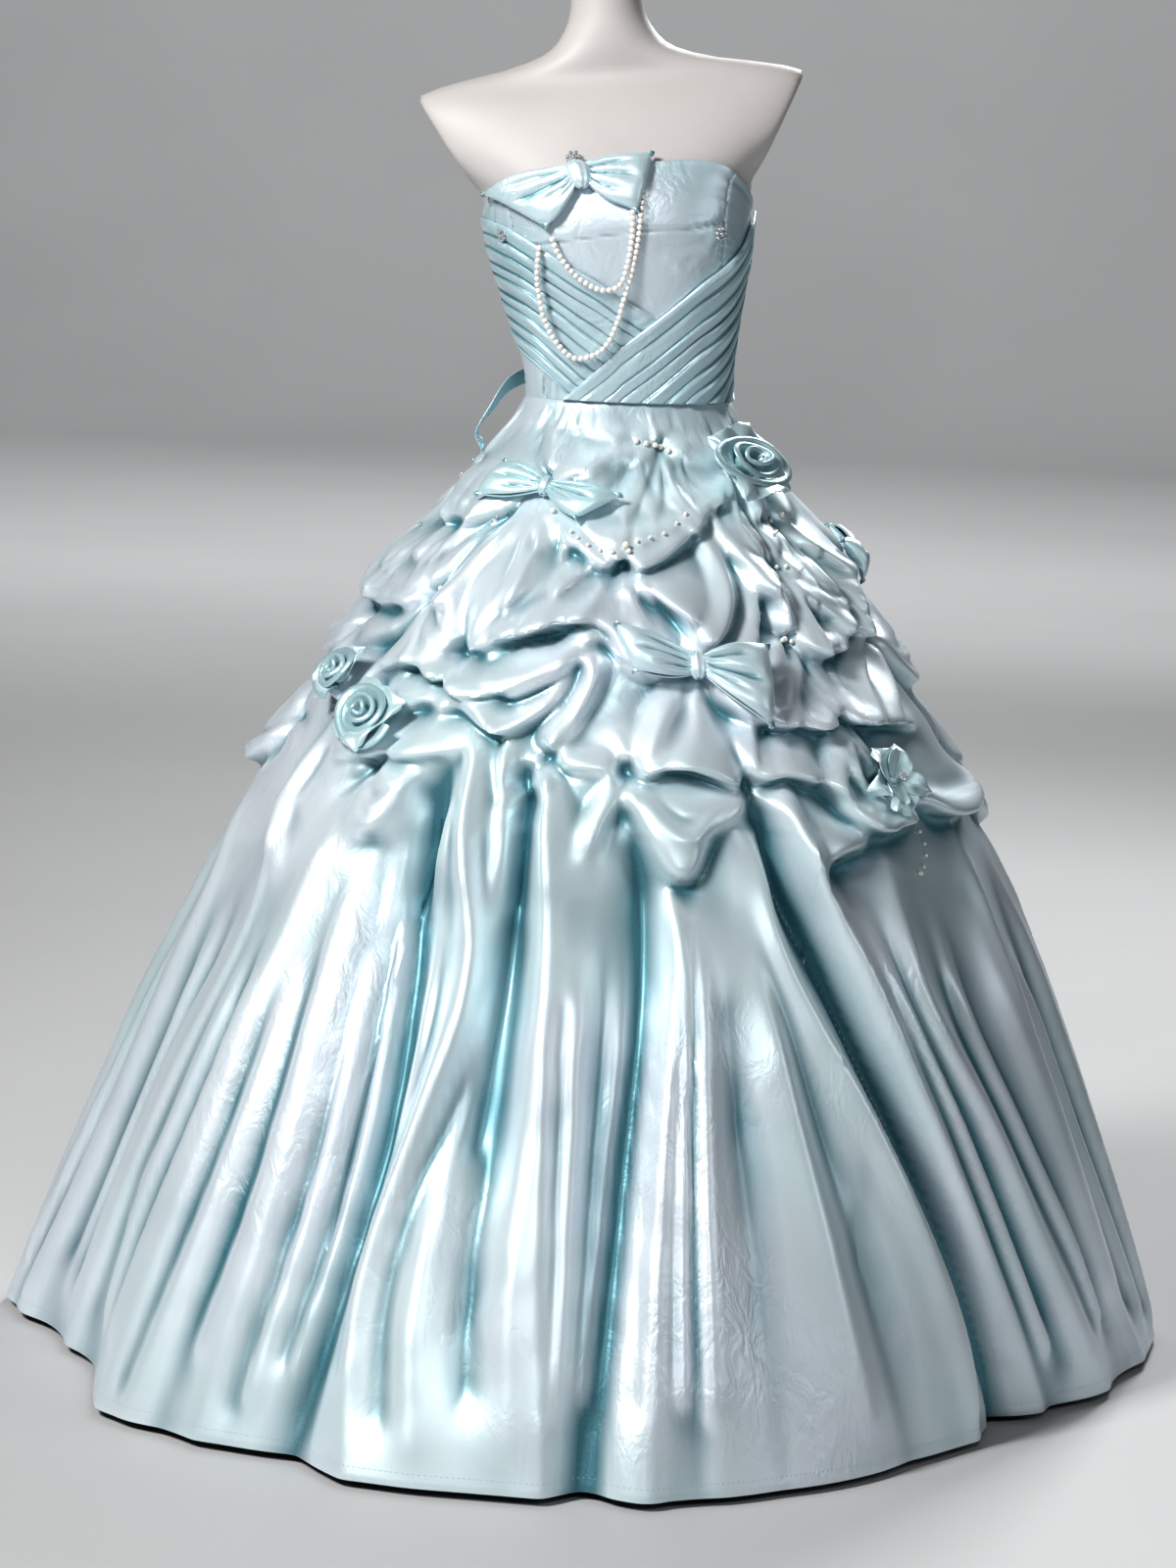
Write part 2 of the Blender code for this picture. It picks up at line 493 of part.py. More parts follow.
def build_bodice():
    neckline = smooth_table(NECKLINE)
    panels = (
        ("bodice_front", -50, 50), ("bodice_side_right", 50, 90), ("bodice_back_right", 90, 180),
        ("bodice_back_left", 180, 270), ("bodice_side_left", 270, 310),
    )
    pieces = []
    for name, start, end in panels:
        columns = round((end - start) / (360 / FORM_COLUMNS)) + 1
        angles = np.linspace(start, end, columns)
        seam = np.degrees(SEAM_GAP / 2 / 0.095)
        angles[0] += seam
        angles[-1] -= seam
        folded = np.abs((angles + 180) % 360 - 180)
        fall = np.linspace(0.0, 1.0, BODICE_ROWS)[:, None]
        bottom = WAIST_HEIGHT + SEAM_GAP
        heights = neckline(folded)[None, :] * (1 - fall) + bottom * fall
        grid_angles = np.broadcast_to(angles, heights.shape)
        outer = body_point(grid_angles, heights, BODICE_OUT)
        inner = body_point(grid_angles, heights, FORM_CLEARANCE)
        outer[-1, :, 2] = bottom
        inner[-1, :, 2] = bottom
        pieces.append(add_object(name, wall_mesh(name, outer, inner), SATIN))
    return pieces


def wrap_rows(wrap, floor_at):
    """Angles and heights of the pleat lines, each from the side seam to where it runs off."""
    top = smooth_table(wrap.top_edge)
    far = wrap.top_edge[0][0] if wrap.side_angle > 0 else wrap.top_edge[-1][0]
    sweep = np.linspace(wrap.side_angle, far, 400)
    share = np.abs(sweep - wrap.side_angle) / abs(far - wrap.side_angle)
    pitch = wrap.side_pitch + (wrap.end_pitch - wrap.side_pitch) * share
    angles, heights = [], []
    for row in range(2 * wrap.pleats + 1):
        line = top(sweep) - 0.5 * row * pitch
        below = np.nonzero(line < floor_at(sweep))[0]
        stop = below[0] if len(below) else len(sweep) - 1
        picks = np.linspace(0, stop, WRAP_COLUMNS)
        angles.append(np.interp(picks, np.arange(len(sweep)), sweep))
        heights.append(np.interp(picks, np.arange(len(sweep)), line))
    return np.array(angles), np.array(heights)


def build_wraps():
    right_top = smooth_table(RIGHT_WRAP.top_edge)
    floor = WAIST_HEIGHT + 0.0015
    edges = {
        RIGHT_WRAP.name: lambda angle: np.full(np.shape(angle), floor),
        LEFT_WRAP.name: lambda angle: np.where(
            angle > -35, np.maximum(right_top(angle) + WRAP_PARTING, floor), floor
        ),
    }
    pieces = []
    for wrap in (LEFT_WRAP, RIGHT_WRAP):
        angles, heights = wrap_rows(wrap, edges[wrap.name])
        if wrap.side_angle > 0:
            angles, heights = angles[:, ::-1], heights[:, ::-1]
        crest = np.array([PLEAT_RELIEF if row % 2 == 0 else 0.0 for row in range(len(angles))])
        relief = np.repeat(crest[:, None], angles.shape[1], axis=1)
        outer = body_point(angles, heights, WRAP_OUT + relief)
        inner = body_point(angles, heights, WRAP_IN)
        pieces.append(add_object(wrap.name, wall_mesh(wrap.name, outer, inner), SATIN_DEEP))
    return pieces


# ---- skirt ----
BELL_RADIUS = smooth_table(BELL)
_first, _last = HEM_PLAN[0], HEM_PLAN[-1]
HEM_RADIUS = smooth_table(HEM_PLAN + ((_first[0] + 360, _first[1]),))


def wrapped(angle):
    return (np.asarray(angle, float) + 180.0) % 360.0 - 180.0


def fold_height(angle, height, fold, widening):
    """How far one fold lifts each point: full along its path, gone beyond its flanks and its ends."""
    path = smooth_curve(fold.path, 6)
    radius = BELL_RADIUS(path[:, 1])
    steps = np.stack((np.radians(np.gradient(path[:, 0])) * radius, np.gradient(path[:, 1])), axis=1)
    spacing = np.linalg.norm(steps, axis=1)
    tangent = steps / spacing[:, None]
    east = np.radians(wrapped(angle[:, None] - path[None, :, 0])) * radius
    north = height[:, None] - path[None, :, 1]
    nearest = np.argmin(east**2 + north**2, axis=1)
    spots = np.arange(len(angle))
    east, north = east[spots, nearest], north[spots, nearest]
    along = east * tangent[nearest, 0] + north * tangent[nearest, 1]
    aside = tangent[nearest, 0] * north - tangent[nearest, 1] * east
    share = (nearest + along / spacing[nearest]) / (len(path) - 1)
    wider = radius[nearest] / BELL_RADIUS(HEM_HEIGHT) if widening else 1.0
    flank = np.where(aside > 0, fold.left, fold.right) * wider
    ends = smoothstep(share, -0.02, 0.22)
    if fold.path[-1][1] > HEM_HEIGHT:
        ends = ends * smoothstep(-share, -1.02, -0.78)
    return fold.proud * ends * np.exp(-np.abs(aside / flank) ** 1.6)


def swag_fold(swag):
    """A swag between two pick-ups as a fold along a hanging curve."""
    path = []
    for share in np.linspace(0.0, 1.0, 7):
        angle = swag.start[0] + (swag.end[0] - swag.start[0]) * share
        level = swag.start[1] + (swag.end[1] - swag.start[1]) * share
        path.append((angle, level - 4 * swag.drop * share * (1 - share)))
    return Fold(tuple(path), swag.proud, SWAG_FLANK_ABOVE, SWAG_FLANK_BELOW)


def skirt_points(angle, height):
    """The skirt's outer surface: its bell, the hem's plan, pick-ups, swags and long folds."""
    shape = np.shape(angle)
    angle, height = np.ravel(angle).astype(float), np.ravel(height).astype(float)
    drape = np.zeros(len(angle))
    for fold in DRAPE_FOLDS + tuple(swag_fold(swag) for swag in BACK_SWAGS):
        drape = drape + fold_height(angle, height, fold, widening=False)
    for pick in PICK_UPS:
        east = np.radians(wrapped(angle - pick.angle)) * BELL_RADIUS(pick.height)
        north = height - pick.height
        drape = drape - pick.depth * np.exp(-(east**2 + north**2) / pick.spread**2)
    long_folds = np.zeros(len(angle))
    for fold in LONG_FOLDS:
        long_folds = long_folds + fold_height(angle, height, fold, widening=True)
    below_waist = smoothstep(WAIST_HEIGHT - height, 0.0, 0.05)
    above_hem = smoothstep(height, HEM_HEIGHT, 0.30)
    drape = np.clip(drape * DRAPE_FULLNESS, DRAPE_DEEPEST, DRAPE_PROUDEST) * below_waist
    long_folds = long_folds * LONG_FULLNESS * (0.45 + 0.55 * above_hem)
    plan_share = np.clip((0.75 - height) / 0.74, 0.0, 1.0) ** 1.5
    plan = HEM_RADIUS(wrapped(angle)) / BELL_RADIUS(HEM_HEIGHT)
    radius = BELL_RADIUS(height) * (1 + (plan - 1) * plan_share) + drape + long_folds
    turn = np.radians(angle)
    waist_share = np.where(np.cos(turn) > 0, WAIST_FRONT_SHARE, WAIST_BACK_SHARE)
    roundness = smoothstep(WAIST_HEIGHT - height, 0.0, 0.13)
    depth_share = waist_share + (1 - waist_share) * roundness
    power = SECTION_POWER + (2.0 - SECTION_POWER) * roundness
    level = height - HANG_SHARE * np.maximum(drape, 0.0)
    x = radius * rounded(np.sin(turn), power)
    y = -radius * rounded(np.cos(turn), power) * depth_share
    points = np.stack((x, y, level), axis=1)
    return points.reshape(shape + (3,))


def build_skirt():
    angles = np.arange(-1, SKIRT_COLUMNS + 2) * 360.0 / SKIRT_COLUMNS - 30.0
    grid_angles, grid_heights = np.meshgrid(angles, np.array(SKIRT_HEIGHTS))
    outer = skirt_points(grid_angles, grid_heights)
    normals = grid_normals(outer)
    normals[0, :, 2] = 0.0
    normals[-1, :, 2] = 0.0
    normals /= np.linalg.norm(normals, axis=2, keepdims=True)
    turn = np.radians(grid_angles)
    sideways = np.stack((np.cos(turn), np.sin(turn), np.zeros(turn.shape)), axis=2)
    per_gore = SKIRT_COLUMNS // GORE_COUNT
    seams = slice(1, None, per_gore)
    lean = np.sum(normals[:, seams] * sideways[:, seams], axis=2, keepdims=True)
    normals[:, seams] -= lean * sideways[:, seams]
    normals /= np.linalg.norm(normals, axis=2, keepdims=True)
    inner = outer - CLOTH_WALL * normals
    names = (
        "skirt_front", "skirt_front_right", "skirt_back_right", "skirt_back", "skirt_back_left",
        "skirt_front_left",
    )
    pieces = []
    for index, name in enumerate(names):
        start = 1 + index * per_gore
        span = slice(start, start + per_gore + 1)
        walls = []
        for surface in (outer, inner):
            gore = surface[:, span].copy()
            gore[:, 0] += sideways[:, start] * SEAM_GAP / 2
            gore[:, -1] -= sideways[:, start + per_gore] * SEAM_GAP / 2
            walls.append(gore)
        pieces.append(add_object(name, wall_mesh(name, walls[0], walls[1]), SATIN))
    return pieces


# ---- trims: built clear of the gown, then slid in until they lie on it ----
def tree_of(things):
    points, faces = [], []
    for thing in things:
        first = len(points)
        points += [vertex.co.copy() for vertex in thing.data.vertices]
        faces += [[first + index for index in face.vertices] for face in thing.data.polygons]
    return BVHTree.FromPolygons(points, faces), points


def seat(pieces, carriers, direction, reach=0.12):
    """Slide the pieces along a direction until they lie a small gap from what carries them."""
    direction = Vector(direction).normalized()
    carrier_tree, carrier_points = tree_of(carriers)
    piece_tree, piece_points = tree_of(pieces)
    free = reach
    for point in piece_points:
        distance = carrier_tree.ray_cast(point, direction, reach)[3]
        free = min(free, distance if distance is not None else reach)
    for point in carrier_points:
        distance = piece_tree.ray_cast(point, -direction, reach)[3]
        free = min(free, distance if distance is not None else reach)
    shift = direction * (free - SEAT_GAP)
    for piece in pieces:
        piece.data.transform(Matrix.Translation(shift))
    while tree_of(pieces)[0].overlap(carrier_tree):
        for piece in pieces:
            piece.data.transform(Matrix.Translation(-direction * SEAT_GAP))


def knot_reach(knot_width, lift):
    """Half width of a knot at a height above its middle plane; its section is a rounded square."""
    share = min(abs(lift) / KNOT_DEPTH, 0.999)
    return knot_width * (1 - share**4) ** 0.25


def loop_grids(top, bottom, bulge, knot_width, knot_height, place):
    """Outer and inner grids of one bow loop: a strip that runs out, turns and comes back to the knot."""
    side = math.copysign(1.0, top[0])
    first = 0.16
    turns = np.linspace(first, math.pi - first, LOOP_STEPS)
    across = np.linspace(0.0, 1.0, LOOP_ROWS)
    grid = np.zeros((LOOP_ROWS, LOOP_STEPS, 3))
    for row, share in enumerate(across):
        tip = Vector(top).lerp(Vector(bottom), share)
        tip.x += side * 0.012 * math.sin(math.pi * share)
        for step, turn in enumerate(turns):
            reach = (math.sin(turn) - math.sin(first)) / (1 - math.sin(first))
            lift = math.cos(turn) * (0.0022 + 1.5 * bulge * math.sin(turn))
            if lift < 0:
                lift *= 0.5
            beside = knot_reach(knot_width, abs(lift) - RIBBON_WALL) + 2 * SEAM_GAP
            root = Vector((side * beside, knot_height * 0.55 * (1 - 2 * share)))
            spot = root.lerp(tip, reach)
            pleat = 0.0022 * math.cos(2 * math.pi * share * 2) * math.sin(turn) * abs(math.cos(turn))
            grid[row, step] = (spot.x, spot.y, lift + pleat)
    normals = grid_normals(grid)
    outer = grid + normals * RIBBON_WALL / 2
    inner = grid - normals * RIBBON_WALL / 2
    return place(outer), place(inner)


def knot_grids(width, height, place):
    """The knot as a short upright wall of cloth rolled round the roots of both loops."""
    turns = np.linspace(0.0, 2 * math.pi, 17)[:-1]
    rings = []
    for level, scale in ((-1.0, 0.78), (-0.65, 1.0), (0.65, 1.0), (1.0, 0.78)):
        across = width * scale * rounded(np.sin(turns), 4)
        deep = KNOT_DEPTH * scale * rounded(np.cos(turns), 4)
        rings.append(np.stack((across, np.full(len(turns), height * level), deep), axis=1))
    return place(np.array(rings))


def ring_solid(name, rings):
    """A closed solid through rings of points, capped at both ends."""
    count = rings.shape[1]
    faces = [list(range(count)), [(len(rings) - 1) * count + index for index in range(count)]]
    for ring in range(len(rings) - 1):
        for index in range(count):
            here = ring * count + index
            after = ring * count + (index + 1) % count
            faces.append([here, after, after + count, here + count])
    return mesh_from(name, rings.reshape(-1, 3), faces)


def build_bow(bow, place, colour):
    left = loop_grids(bow.left_top, bow.left_bottom, bow.bulge, bow.knot_width, bow.knot_height, place)
    right = loop_grids(bow.right_top, bow.right_bottom, bow.bulge, bow.knot_width, bow.knot_height, place)
    knot = knot_grids(bow.knot_width, bow.knot_height, place)
    return [
        add_object(bow.name + "_loop_left", wall_mesh(bow.name + "_loop_left", *left), colour),
        add_object(bow.name + "_loop_right", wall_mesh(bow.name + "_loop_right", *right), colour),
        add_object(bow.name + "_knot", ring_solid(bow.name + "_knot", knot), colour),
    ]


def skirt_frame(angle, height):
    """Origin and axes of the plane that touches the skirt's bell: across, up the slope, outwards."""
    radius = float(BELL_RADIUS(height))
    slope = float(BELL_RADIUS(height + 0.02) - BELL_RADIUS(height - 0.02)) / 0.04
    turn = math.radians(angle)
    outward = Vector((math.sin(turn), -math.cos(turn), 0.0))
    across = Vector((math.cos(turn), math.sin(turn), 0.0))
    upward = (outward * slope + Vector((0.0, 0.0, 1.0))).normalized()
    normal = across.cross(upward).normalized()
    return outward * radius + Vector((0.0, 0.0, height)), across, upward, normal


def plane_placer(origin, across, upward, normal, clear):
    axes = np.array((across, upward, normal))
    start = np.array(origin + normal * clear)
    return lambda grid: start + grid @ axes


def build_bows(bodice, wraps, skirt):
    def on_bodice(grid):
        radius = 0.128
        angles = NECK_BOW.angle + np.degrees(grid[..., 0] / radius)
        return body_point(angles, NECK_BOW.height + grid[..., 1], 0.020 + grid[..., 2])

    neck_bow = build_bow(NECK_BOW, on_bodice, SATIN_DEEP)
    turn = math.radians(NECK_BOW.angle)
    seat(neck_bow, bodice + wraps, (-math.sin(turn), math.cos(turn), 0.0))
    for bow in SKIRT_BOWS:
        origin, across, upward, normal = skirt_frame(bow.angle, bow.height)
        pieces = build_bow(bow, plane_placer(origin, across, upward, normal, 0.070), SATIN)
        seat(pieces, skirt, -normal)
    return neck_bow


def build_roses(skirt):
    for rose in ROSES:
        origin, across, upward, normal = skirt_frame(rose.angle, rose.height)
        place = plane_placer(origin, across, upward, normal, 0.060)
        share = np.linspace(0.0, 1.0, ROSE_STEPS)
        turns = share**0.85 * rose.turns * 2 * math.pi
        foot = 0.004 + (rose.radius * 0.62 - 0.004) * share
        rim = 0.005 + (rose.radius - 0.005) * share
        petal = 1 + 0.07 * np.cos(turns * 2.5)
        depth = rose.radius * (0.62 - 0.20 * share)
        rows = []
        for level in (1.0, 0.55, 0.0):
            radius = (foot + (rim - foot) * level**1.5) * (petal if level == 1.0 else 1.0)
            rows.append(np.stack((radius * np.sin(turns), -radius * np.cos(turns), depth * level), axis=1))
        grid = np.array(rows)
        normals = grid_normals(grid)
        outer, inner = grid + normals * RIBBON_WALL / 2, grid - normals * RIBBON_WALL / 2
        piece = add_object(rose.name, wall_mesh(rose.name, place(outer), place(inner)), SATIN_DEEP)
        seat([piece], skirt, -normal)


def build_flower(skirt):
    """The open flower: one gathered strip of five petals round a small eye."""
    origin, across, upward, normal = skirt_frame(FLOWER_ANGLE, FLOWER_HEIGHT)
    place = plane_placer(origin, across, upward, normal, 0.060)
    turns = np.linspace(0.0, 2 * math.pi, 31)[:-1]
    petal = 1 + 0.22 * np.cos(turns * FLOWER_PETALS)
    rings = []
    upper_side = ((0.12, 0.0), (0.55, 0.010), (1.0, 0.016))
    under_side = ((1.0, 0.0175), (0.55, 0.0118), (0.12, 0.002))
    for share, rise in upper_side + under_side:
        radius = FLOWER_RADIUS * share * (1 + (petal - 1) * share)
        wave = 0.004 * share * np.cos(turns * FLOWER_PETALS + 1.0)
        rings.append(np.stack((radius * np.sin(turns), -radius * np.cos(turns), rise + wave), axis=1))
    piece = add_object("flower_hip", ring_solid("flower_hip", place(np.array(rings))), SATIN_DEEP)
    seat([piece], skirt, -normal)


def tube_mesh(name, path, radius, sides=5):
    """A round tube of closed ends along a path."""
    tangents = np.gradient(path, axis=0)
    tangents /= np.linalg.norm(tangents, axis=1, keepdims=True)
    side = np.cross(tangents, (0.0, 0.15, 1.0))
    side /= np.linalg.norm(side, axis=1, keepdims=True)
    lift = np.cross(side, tangents)
    rings = []
    for index in range(len(path)):
        turns = np.arange(sides) * 2 * math.pi / sides
        spokes = np.outer(np.cos(turns), lift[index]) + np.outer(np.sin(turns), side[index])
        rings.append(path[index] + radius * spokes)
    return ring_solid(name, np.array(rings))


def build_strands(carriers):
    """Pearl strands hang in a loop over the bodice from the neckline bow and bridge its pleats."""
    tree = tree_of(carriers)[0]
    turn = math.radians(STRAND_FACING)
    inward = Vector((-math.sin(turn), math.cos(turn), 0.0))
    for name, route in (("pearl_strand_short", STRAND_SHORT), ("pearl_strand_long", STRAND_LONG)):
        path = smooth_curve(route, 3 * STRAND_FINENESS)
        laid = []
        for point in body_point(path[:, 0], path[:, 1], 0.045):
            gaps = []
            for sideways in (-PEARL_RADIUS, 0.0, PEARL_RADIUS):
                for upward in (-PEARL_RADIUS, 0.0, PEARL_RADIUS):
                    probe = Vector(point) + Vector((sideways, 0.0, upward))
                    gaps.append(tree.ray_cast(probe, inward, 0.1)[3] or 0.1)
            laid.append(Vector(point) + inward * (min(gaps) - PEARL_RADIUS - SEAT_GAP))
        spots = np.array([tuple(point) for point in laid])
        for _ in range(STRAND_BRIDGING):
            spots[1:-1, 1] = np.minimum(spots[1:-1, 1], (spots[:-2, 1] + spots[2:, 1]) / 2)
        add_object(name, tube_mesh(name, spots[::STRAND_FINENESS], PEARL_RADIUS), PEARL, 0.2)


def build_ribbon():
    """A narrow ribbon that ties at the back of the waist and falls over the left side of the skirt."""
    rest = BODICE_OUT + RIBBON_WALL / 2 + SEAT_GAP
    on_bodice = [body_point(angle, height, rest + lift) for angle, height, lift in RIBBON_ON_BODICE]
    on_skirt = []
    for angle, height in RIBBON_ON_SKIRT:
        normal = skirt_frame(angle, height)[3]
        surface = skirt_points(np.array([angle]), np.array([height]))[0]
        on_skirt.append(surface + RIBBON_REST * np.array(normal))
    path = smooth_curve(on_bodice + list(RIBBON_FREE) + on_skirt, 3)
    tangents = np.gradient(path, axis=0)
    tangents /= np.linalg.norm(tangents, axis=1, keepdims=True)
    outward = np.stack((path[:, 0], path[:, 1], np.zeros(len(path))), axis=1)
    outward /= np.linalg.norm(outward, axis=1, keepdims=True)
    breadth = np.cross(outward, tangents)
    breadth /= np.linalg.norm(breadth, axis=1, keepdims=True)
    face = np.cross(tangents, breadth)
    rows = np.array([path + breadth * RIBBON_HALF_WIDTH * share for share in (-1.0, 0.0, 1.0)])
    thickness = face[None] * RIBBON_WALL / 2
    add_object("ribbon_tie", wall_mesh("ribbon_tie", rows + thickness, rows - thickness), SATIN_DEEP)


def build_gown():
    clear_scene()
    build_form()
    build_stand()
    bodice = build_bodice()
    wraps = build_wraps()
    skirt = build_skirt()
    build_bows(bodice, wraps, skirt)
    build_roses(skirt)
    build_flower(skirt)
    build_strands(bodice + wraps)
    build_ribbon()


build_gown()
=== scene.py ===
"""A pale aqua satin ball gown on its limbless dress form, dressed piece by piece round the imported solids.

The front faces -Y, +Z is up, lengths are metres and angles are degrees turned from -Y towards +X.
"""
import math
from collections import namedtuple

import bmesh
import bpy
import numpy as np
from mathutils import Matrix, Vector, noise
from mathutils.bvhtree import BVHTree


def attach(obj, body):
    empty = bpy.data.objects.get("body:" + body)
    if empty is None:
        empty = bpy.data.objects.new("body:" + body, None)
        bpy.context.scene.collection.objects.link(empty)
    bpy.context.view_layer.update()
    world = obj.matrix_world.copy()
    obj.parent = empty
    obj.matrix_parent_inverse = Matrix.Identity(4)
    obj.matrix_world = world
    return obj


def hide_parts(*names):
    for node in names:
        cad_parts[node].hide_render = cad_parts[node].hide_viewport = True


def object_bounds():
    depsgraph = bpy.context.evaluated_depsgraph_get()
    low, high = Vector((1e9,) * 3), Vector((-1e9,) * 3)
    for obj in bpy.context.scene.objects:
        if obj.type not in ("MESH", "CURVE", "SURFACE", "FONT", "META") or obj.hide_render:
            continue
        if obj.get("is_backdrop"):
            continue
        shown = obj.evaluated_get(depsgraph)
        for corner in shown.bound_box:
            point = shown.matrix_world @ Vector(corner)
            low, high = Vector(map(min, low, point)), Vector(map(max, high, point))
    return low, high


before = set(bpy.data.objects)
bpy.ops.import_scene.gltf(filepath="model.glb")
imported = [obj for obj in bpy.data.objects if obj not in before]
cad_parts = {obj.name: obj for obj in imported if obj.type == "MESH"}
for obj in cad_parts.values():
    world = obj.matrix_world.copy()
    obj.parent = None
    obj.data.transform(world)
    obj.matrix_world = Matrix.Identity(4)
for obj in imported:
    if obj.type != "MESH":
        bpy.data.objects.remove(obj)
solid_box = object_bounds()
scene = bpy.context.scene

# ---- View, floor and light ----
# The stand rests on a plain pale studio floor that curves up into a far wall. A softbox high at the front left
# gives the satin its broad highlights, weak ones in front and at the right keep the shaded side readable, one
# behind lifts the outline and the last one lights the wall.
CAMERA_SPOT = (-0.0265, -4.77, 1.32)
CAMERA_TIP = 8.66
CAMERA_ROLL = 2.2
CAMERA_LENS = 105.3
CAMERA_SENSOR = 36.0
Softbox = namedtuple("Softbox", "name spot target size power colour")
SOFTBOXES = (
    Softbox("key_softbox", (-2.3, -2.5, 3.3), (0.0, 0.0, 0.58), (0.8, 1.0), 188.0, (1.0, 0.985, 0.97)),
    Softbox("front_softbox", (0.6, -4.2, 2.9), (0.0, 0.0, 0.5), (0.6, 0.9), 26.0, (0.96, 0.97, 1.0)),
    Softbox("right_softbox", (2.8, -1.4, 1.6), (0.0, 0.0, 0.7), (0.4, 1.4), 7.0, (0.94, 0.97, 1.0)),
    Softbox("wall_softbox", (0.0, 6.5, 5.2), (0.0, 11.6, 1.2), (6.0, 2.5), 430.0, (1.0, 1.0, 1.0)),
    Softbox("rear_softbox", (1.2, 3.2, 3.0), (0.0, 0.0, 0.8), (1.2, 1.2), 120.0, (1.0, 1.0, 1.0)),
)
AIR_COLOUR = (0.78, 0.80, 0.83, 1.0)
AIR_STRENGTH = 0.04
FLOOR_SIDES = 96
WALL_FOOT = 12.0
WALL_CURVE = 3.0
WALL_STEPS = 15
WALL_HALF_TURN = 0.32

camera_data = bpy.data.cameras.new("camera")
camera_data.sensor_width = CAMERA_SENSOR
camera_data.lens = CAMERA_LENS
camera = bpy.data.objects.new("camera", camera_data)
scene.collection.objects.link(camera)
camera.matrix_world = (
    Matrix.Translation(CAMERA_SPOT)
    @ Matrix.Rotation(math.radians(90 - CAMERA_TIP), 4, "X")
    @ Matrix.Rotation(math.radians(CAMERA_ROLL), 4, "Z")
)
scene.camera = camera
scene.view_settings.view_transform = "Standard"
scene.view_settings.look = "Medium High Contrast"

for box in SOFTBOXES:
    light_data = bpy.data.lights.new(box.name, "AREA")
    light_data.shape = "RECTANGLE"
    light_data.size, light_data.size_y = box.size
    light_data.energy = box.power
    light_data.color = box.colour
    light = bpy.data.objects.new(box.name, light_data)
    light.location = box.spot
    light.rotation_euler = (Vector(box.target) - Vector(box.spot)).to_track_quat("-Z", "Y").to_euler()
    scene.collection.objects.link(light)

world = bpy.data.worlds.new("studio_air")
scene.world = world
world.use_nodes = True
background = world.node_tree.nodes["Background"]
background.inputs["Color"].default_value = AIR_COLOUR
background.inputs["Strength"].default_value = AIR_STRENGTH


def start_group(name, inputs, **outputs):
    """An empty shader node group with its named sockets, and its two end nodes."""
    group = bpy.data.node_groups.new(name, "ShaderNodeTree")
    for label, value in inputs.items():
        kind = "NodeSocketFloat" if isinstance(value, float) else "NodeSocketColor"
        group.interface.new_socket(label, in_out="INPUT", socket_type=kind).default_value = value
    for label, kind in outputs.items():
        group.interface.new_socket(label, in_out="OUTPUT", socket_type=f"NodeSocket{kind}")
    return group, group.nodes.new("NodeGroupInput"), group.nodes.new("NodeGroupOutput")


def set_inputs(node, **values):
    """Set a node's sockets by their names, written with underscores for spaces."""
    for label, value in values.items():
        node.inputs[label.replace("_", " ")].default_value = value
    return node


def feed(tree, socket, value):
    """Link a socket into another, or give that other one a plain value."""
    if isinstance(value, bpy.types.NodeSocket):
        tree.links.new(value, socket)
    else:
        socket.default_value = value


def place_group(tree, group, **values):
    node = tree.nodes.new("ShaderNodeGroup")
    node.node_tree = group
    return set_inputs(node, **values)


def noise_node(tree, scale, detail=3.0, roughness=0.5, coordinates=None):
    node = set_inputs(tree.nodes.new("ShaderNodeTexNoise"), Scale=scale, Detail=detail, Roughness=roughness)
    if coordinates is not None:
        tree.links.new(coordinates, node.inputs["Vector"])
    return node


def mix_colours(tree, factor, first, second):
    """A colour mix node; each argument is a socket or a plain value."""
    node = tree.nodes.new("ShaderNodeMix")
    node.data_type = "RGBA"
    for number, value in ((0, factor), (6, first), (7, second)):
        feed(tree, node.inputs[number], value)
    return node.outputs[2]


def ranged(tree, value, low, high, to_low=0.0, to_high=1.0):
    node = tree.nodes.new("ShaderNodeMapRange")
    tree.links.new(value, node.inputs["Value"])
    return set_inputs(node, From_Min=low, From_Max=high, To_Min=to_low, To_Max=to_high).outputs["Result"]


def maths(tree, operation, first, second=0.0):
    node = tree.nodes.new("ShaderNodeMath")
    node.operation = operation
    for socket, value in zip(node.inputs, (first, second)):
        feed(tree, socket, value)
    return node.outputs[0]


def bump(tree, height, strength, distance, normal=None):
    node = set_inputs(tree.nodes.new("ShaderNodeBump"), Strength=strength, Distance=distance)
    tree.links.new(height, node.inputs["Height"])
    if normal is not None:
        tree.links.new(normal, node.inputs["Normal"])
    return node.outputs["Normal"]


def start_material(name):
    """A new material with its node tree and its shader."""
    material = bpy.data.materials.new(name)
    material.use_nodes = True
    return material, material.node_tree, material.node_tree.nodes["Principled BSDF"]


# cloudy tone and a fine tooth, for hard and matt surfaces
mottle, ends_in, ends_out = start_group(
    "mottle",
    {"Colour": (0.8, 0.8, 0.8, 1.0), "Shade": (0.7, 0.7, 0.7, 1.0), "Cloud Scale": 6.0, "Tooth Scale": 400.0},
    Colour="Color", Height="Float",
)
place = mottle.nodes.new("ShaderNodeTexCoord").outputs["Object"]
cloud = noise_node(mottle, 6.0, coordinates=place)
tooth = noise_node(mottle, 400.0, detail=2.0, coordinates=place)
mottle.links.new(ends_in.outputs["Cloud Scale"], cloud.inputs["Scale"])
mottle.links.new(ends_in.outputs["Tooth Scale"], tooth.inputs["Scale"])
patches = ranged(mottle, cloud.outputs[0], 0.38, 0.66)
toned = mix_colours(mottle, patches, ends_in.outputs["Colour"], ends_in.outputs["Shade"])
mottle.links.new(toned, ends_out.inputs["Colour"])
mottle.links.new(tooth.outputs[0], ends_out.inputs["Height"])


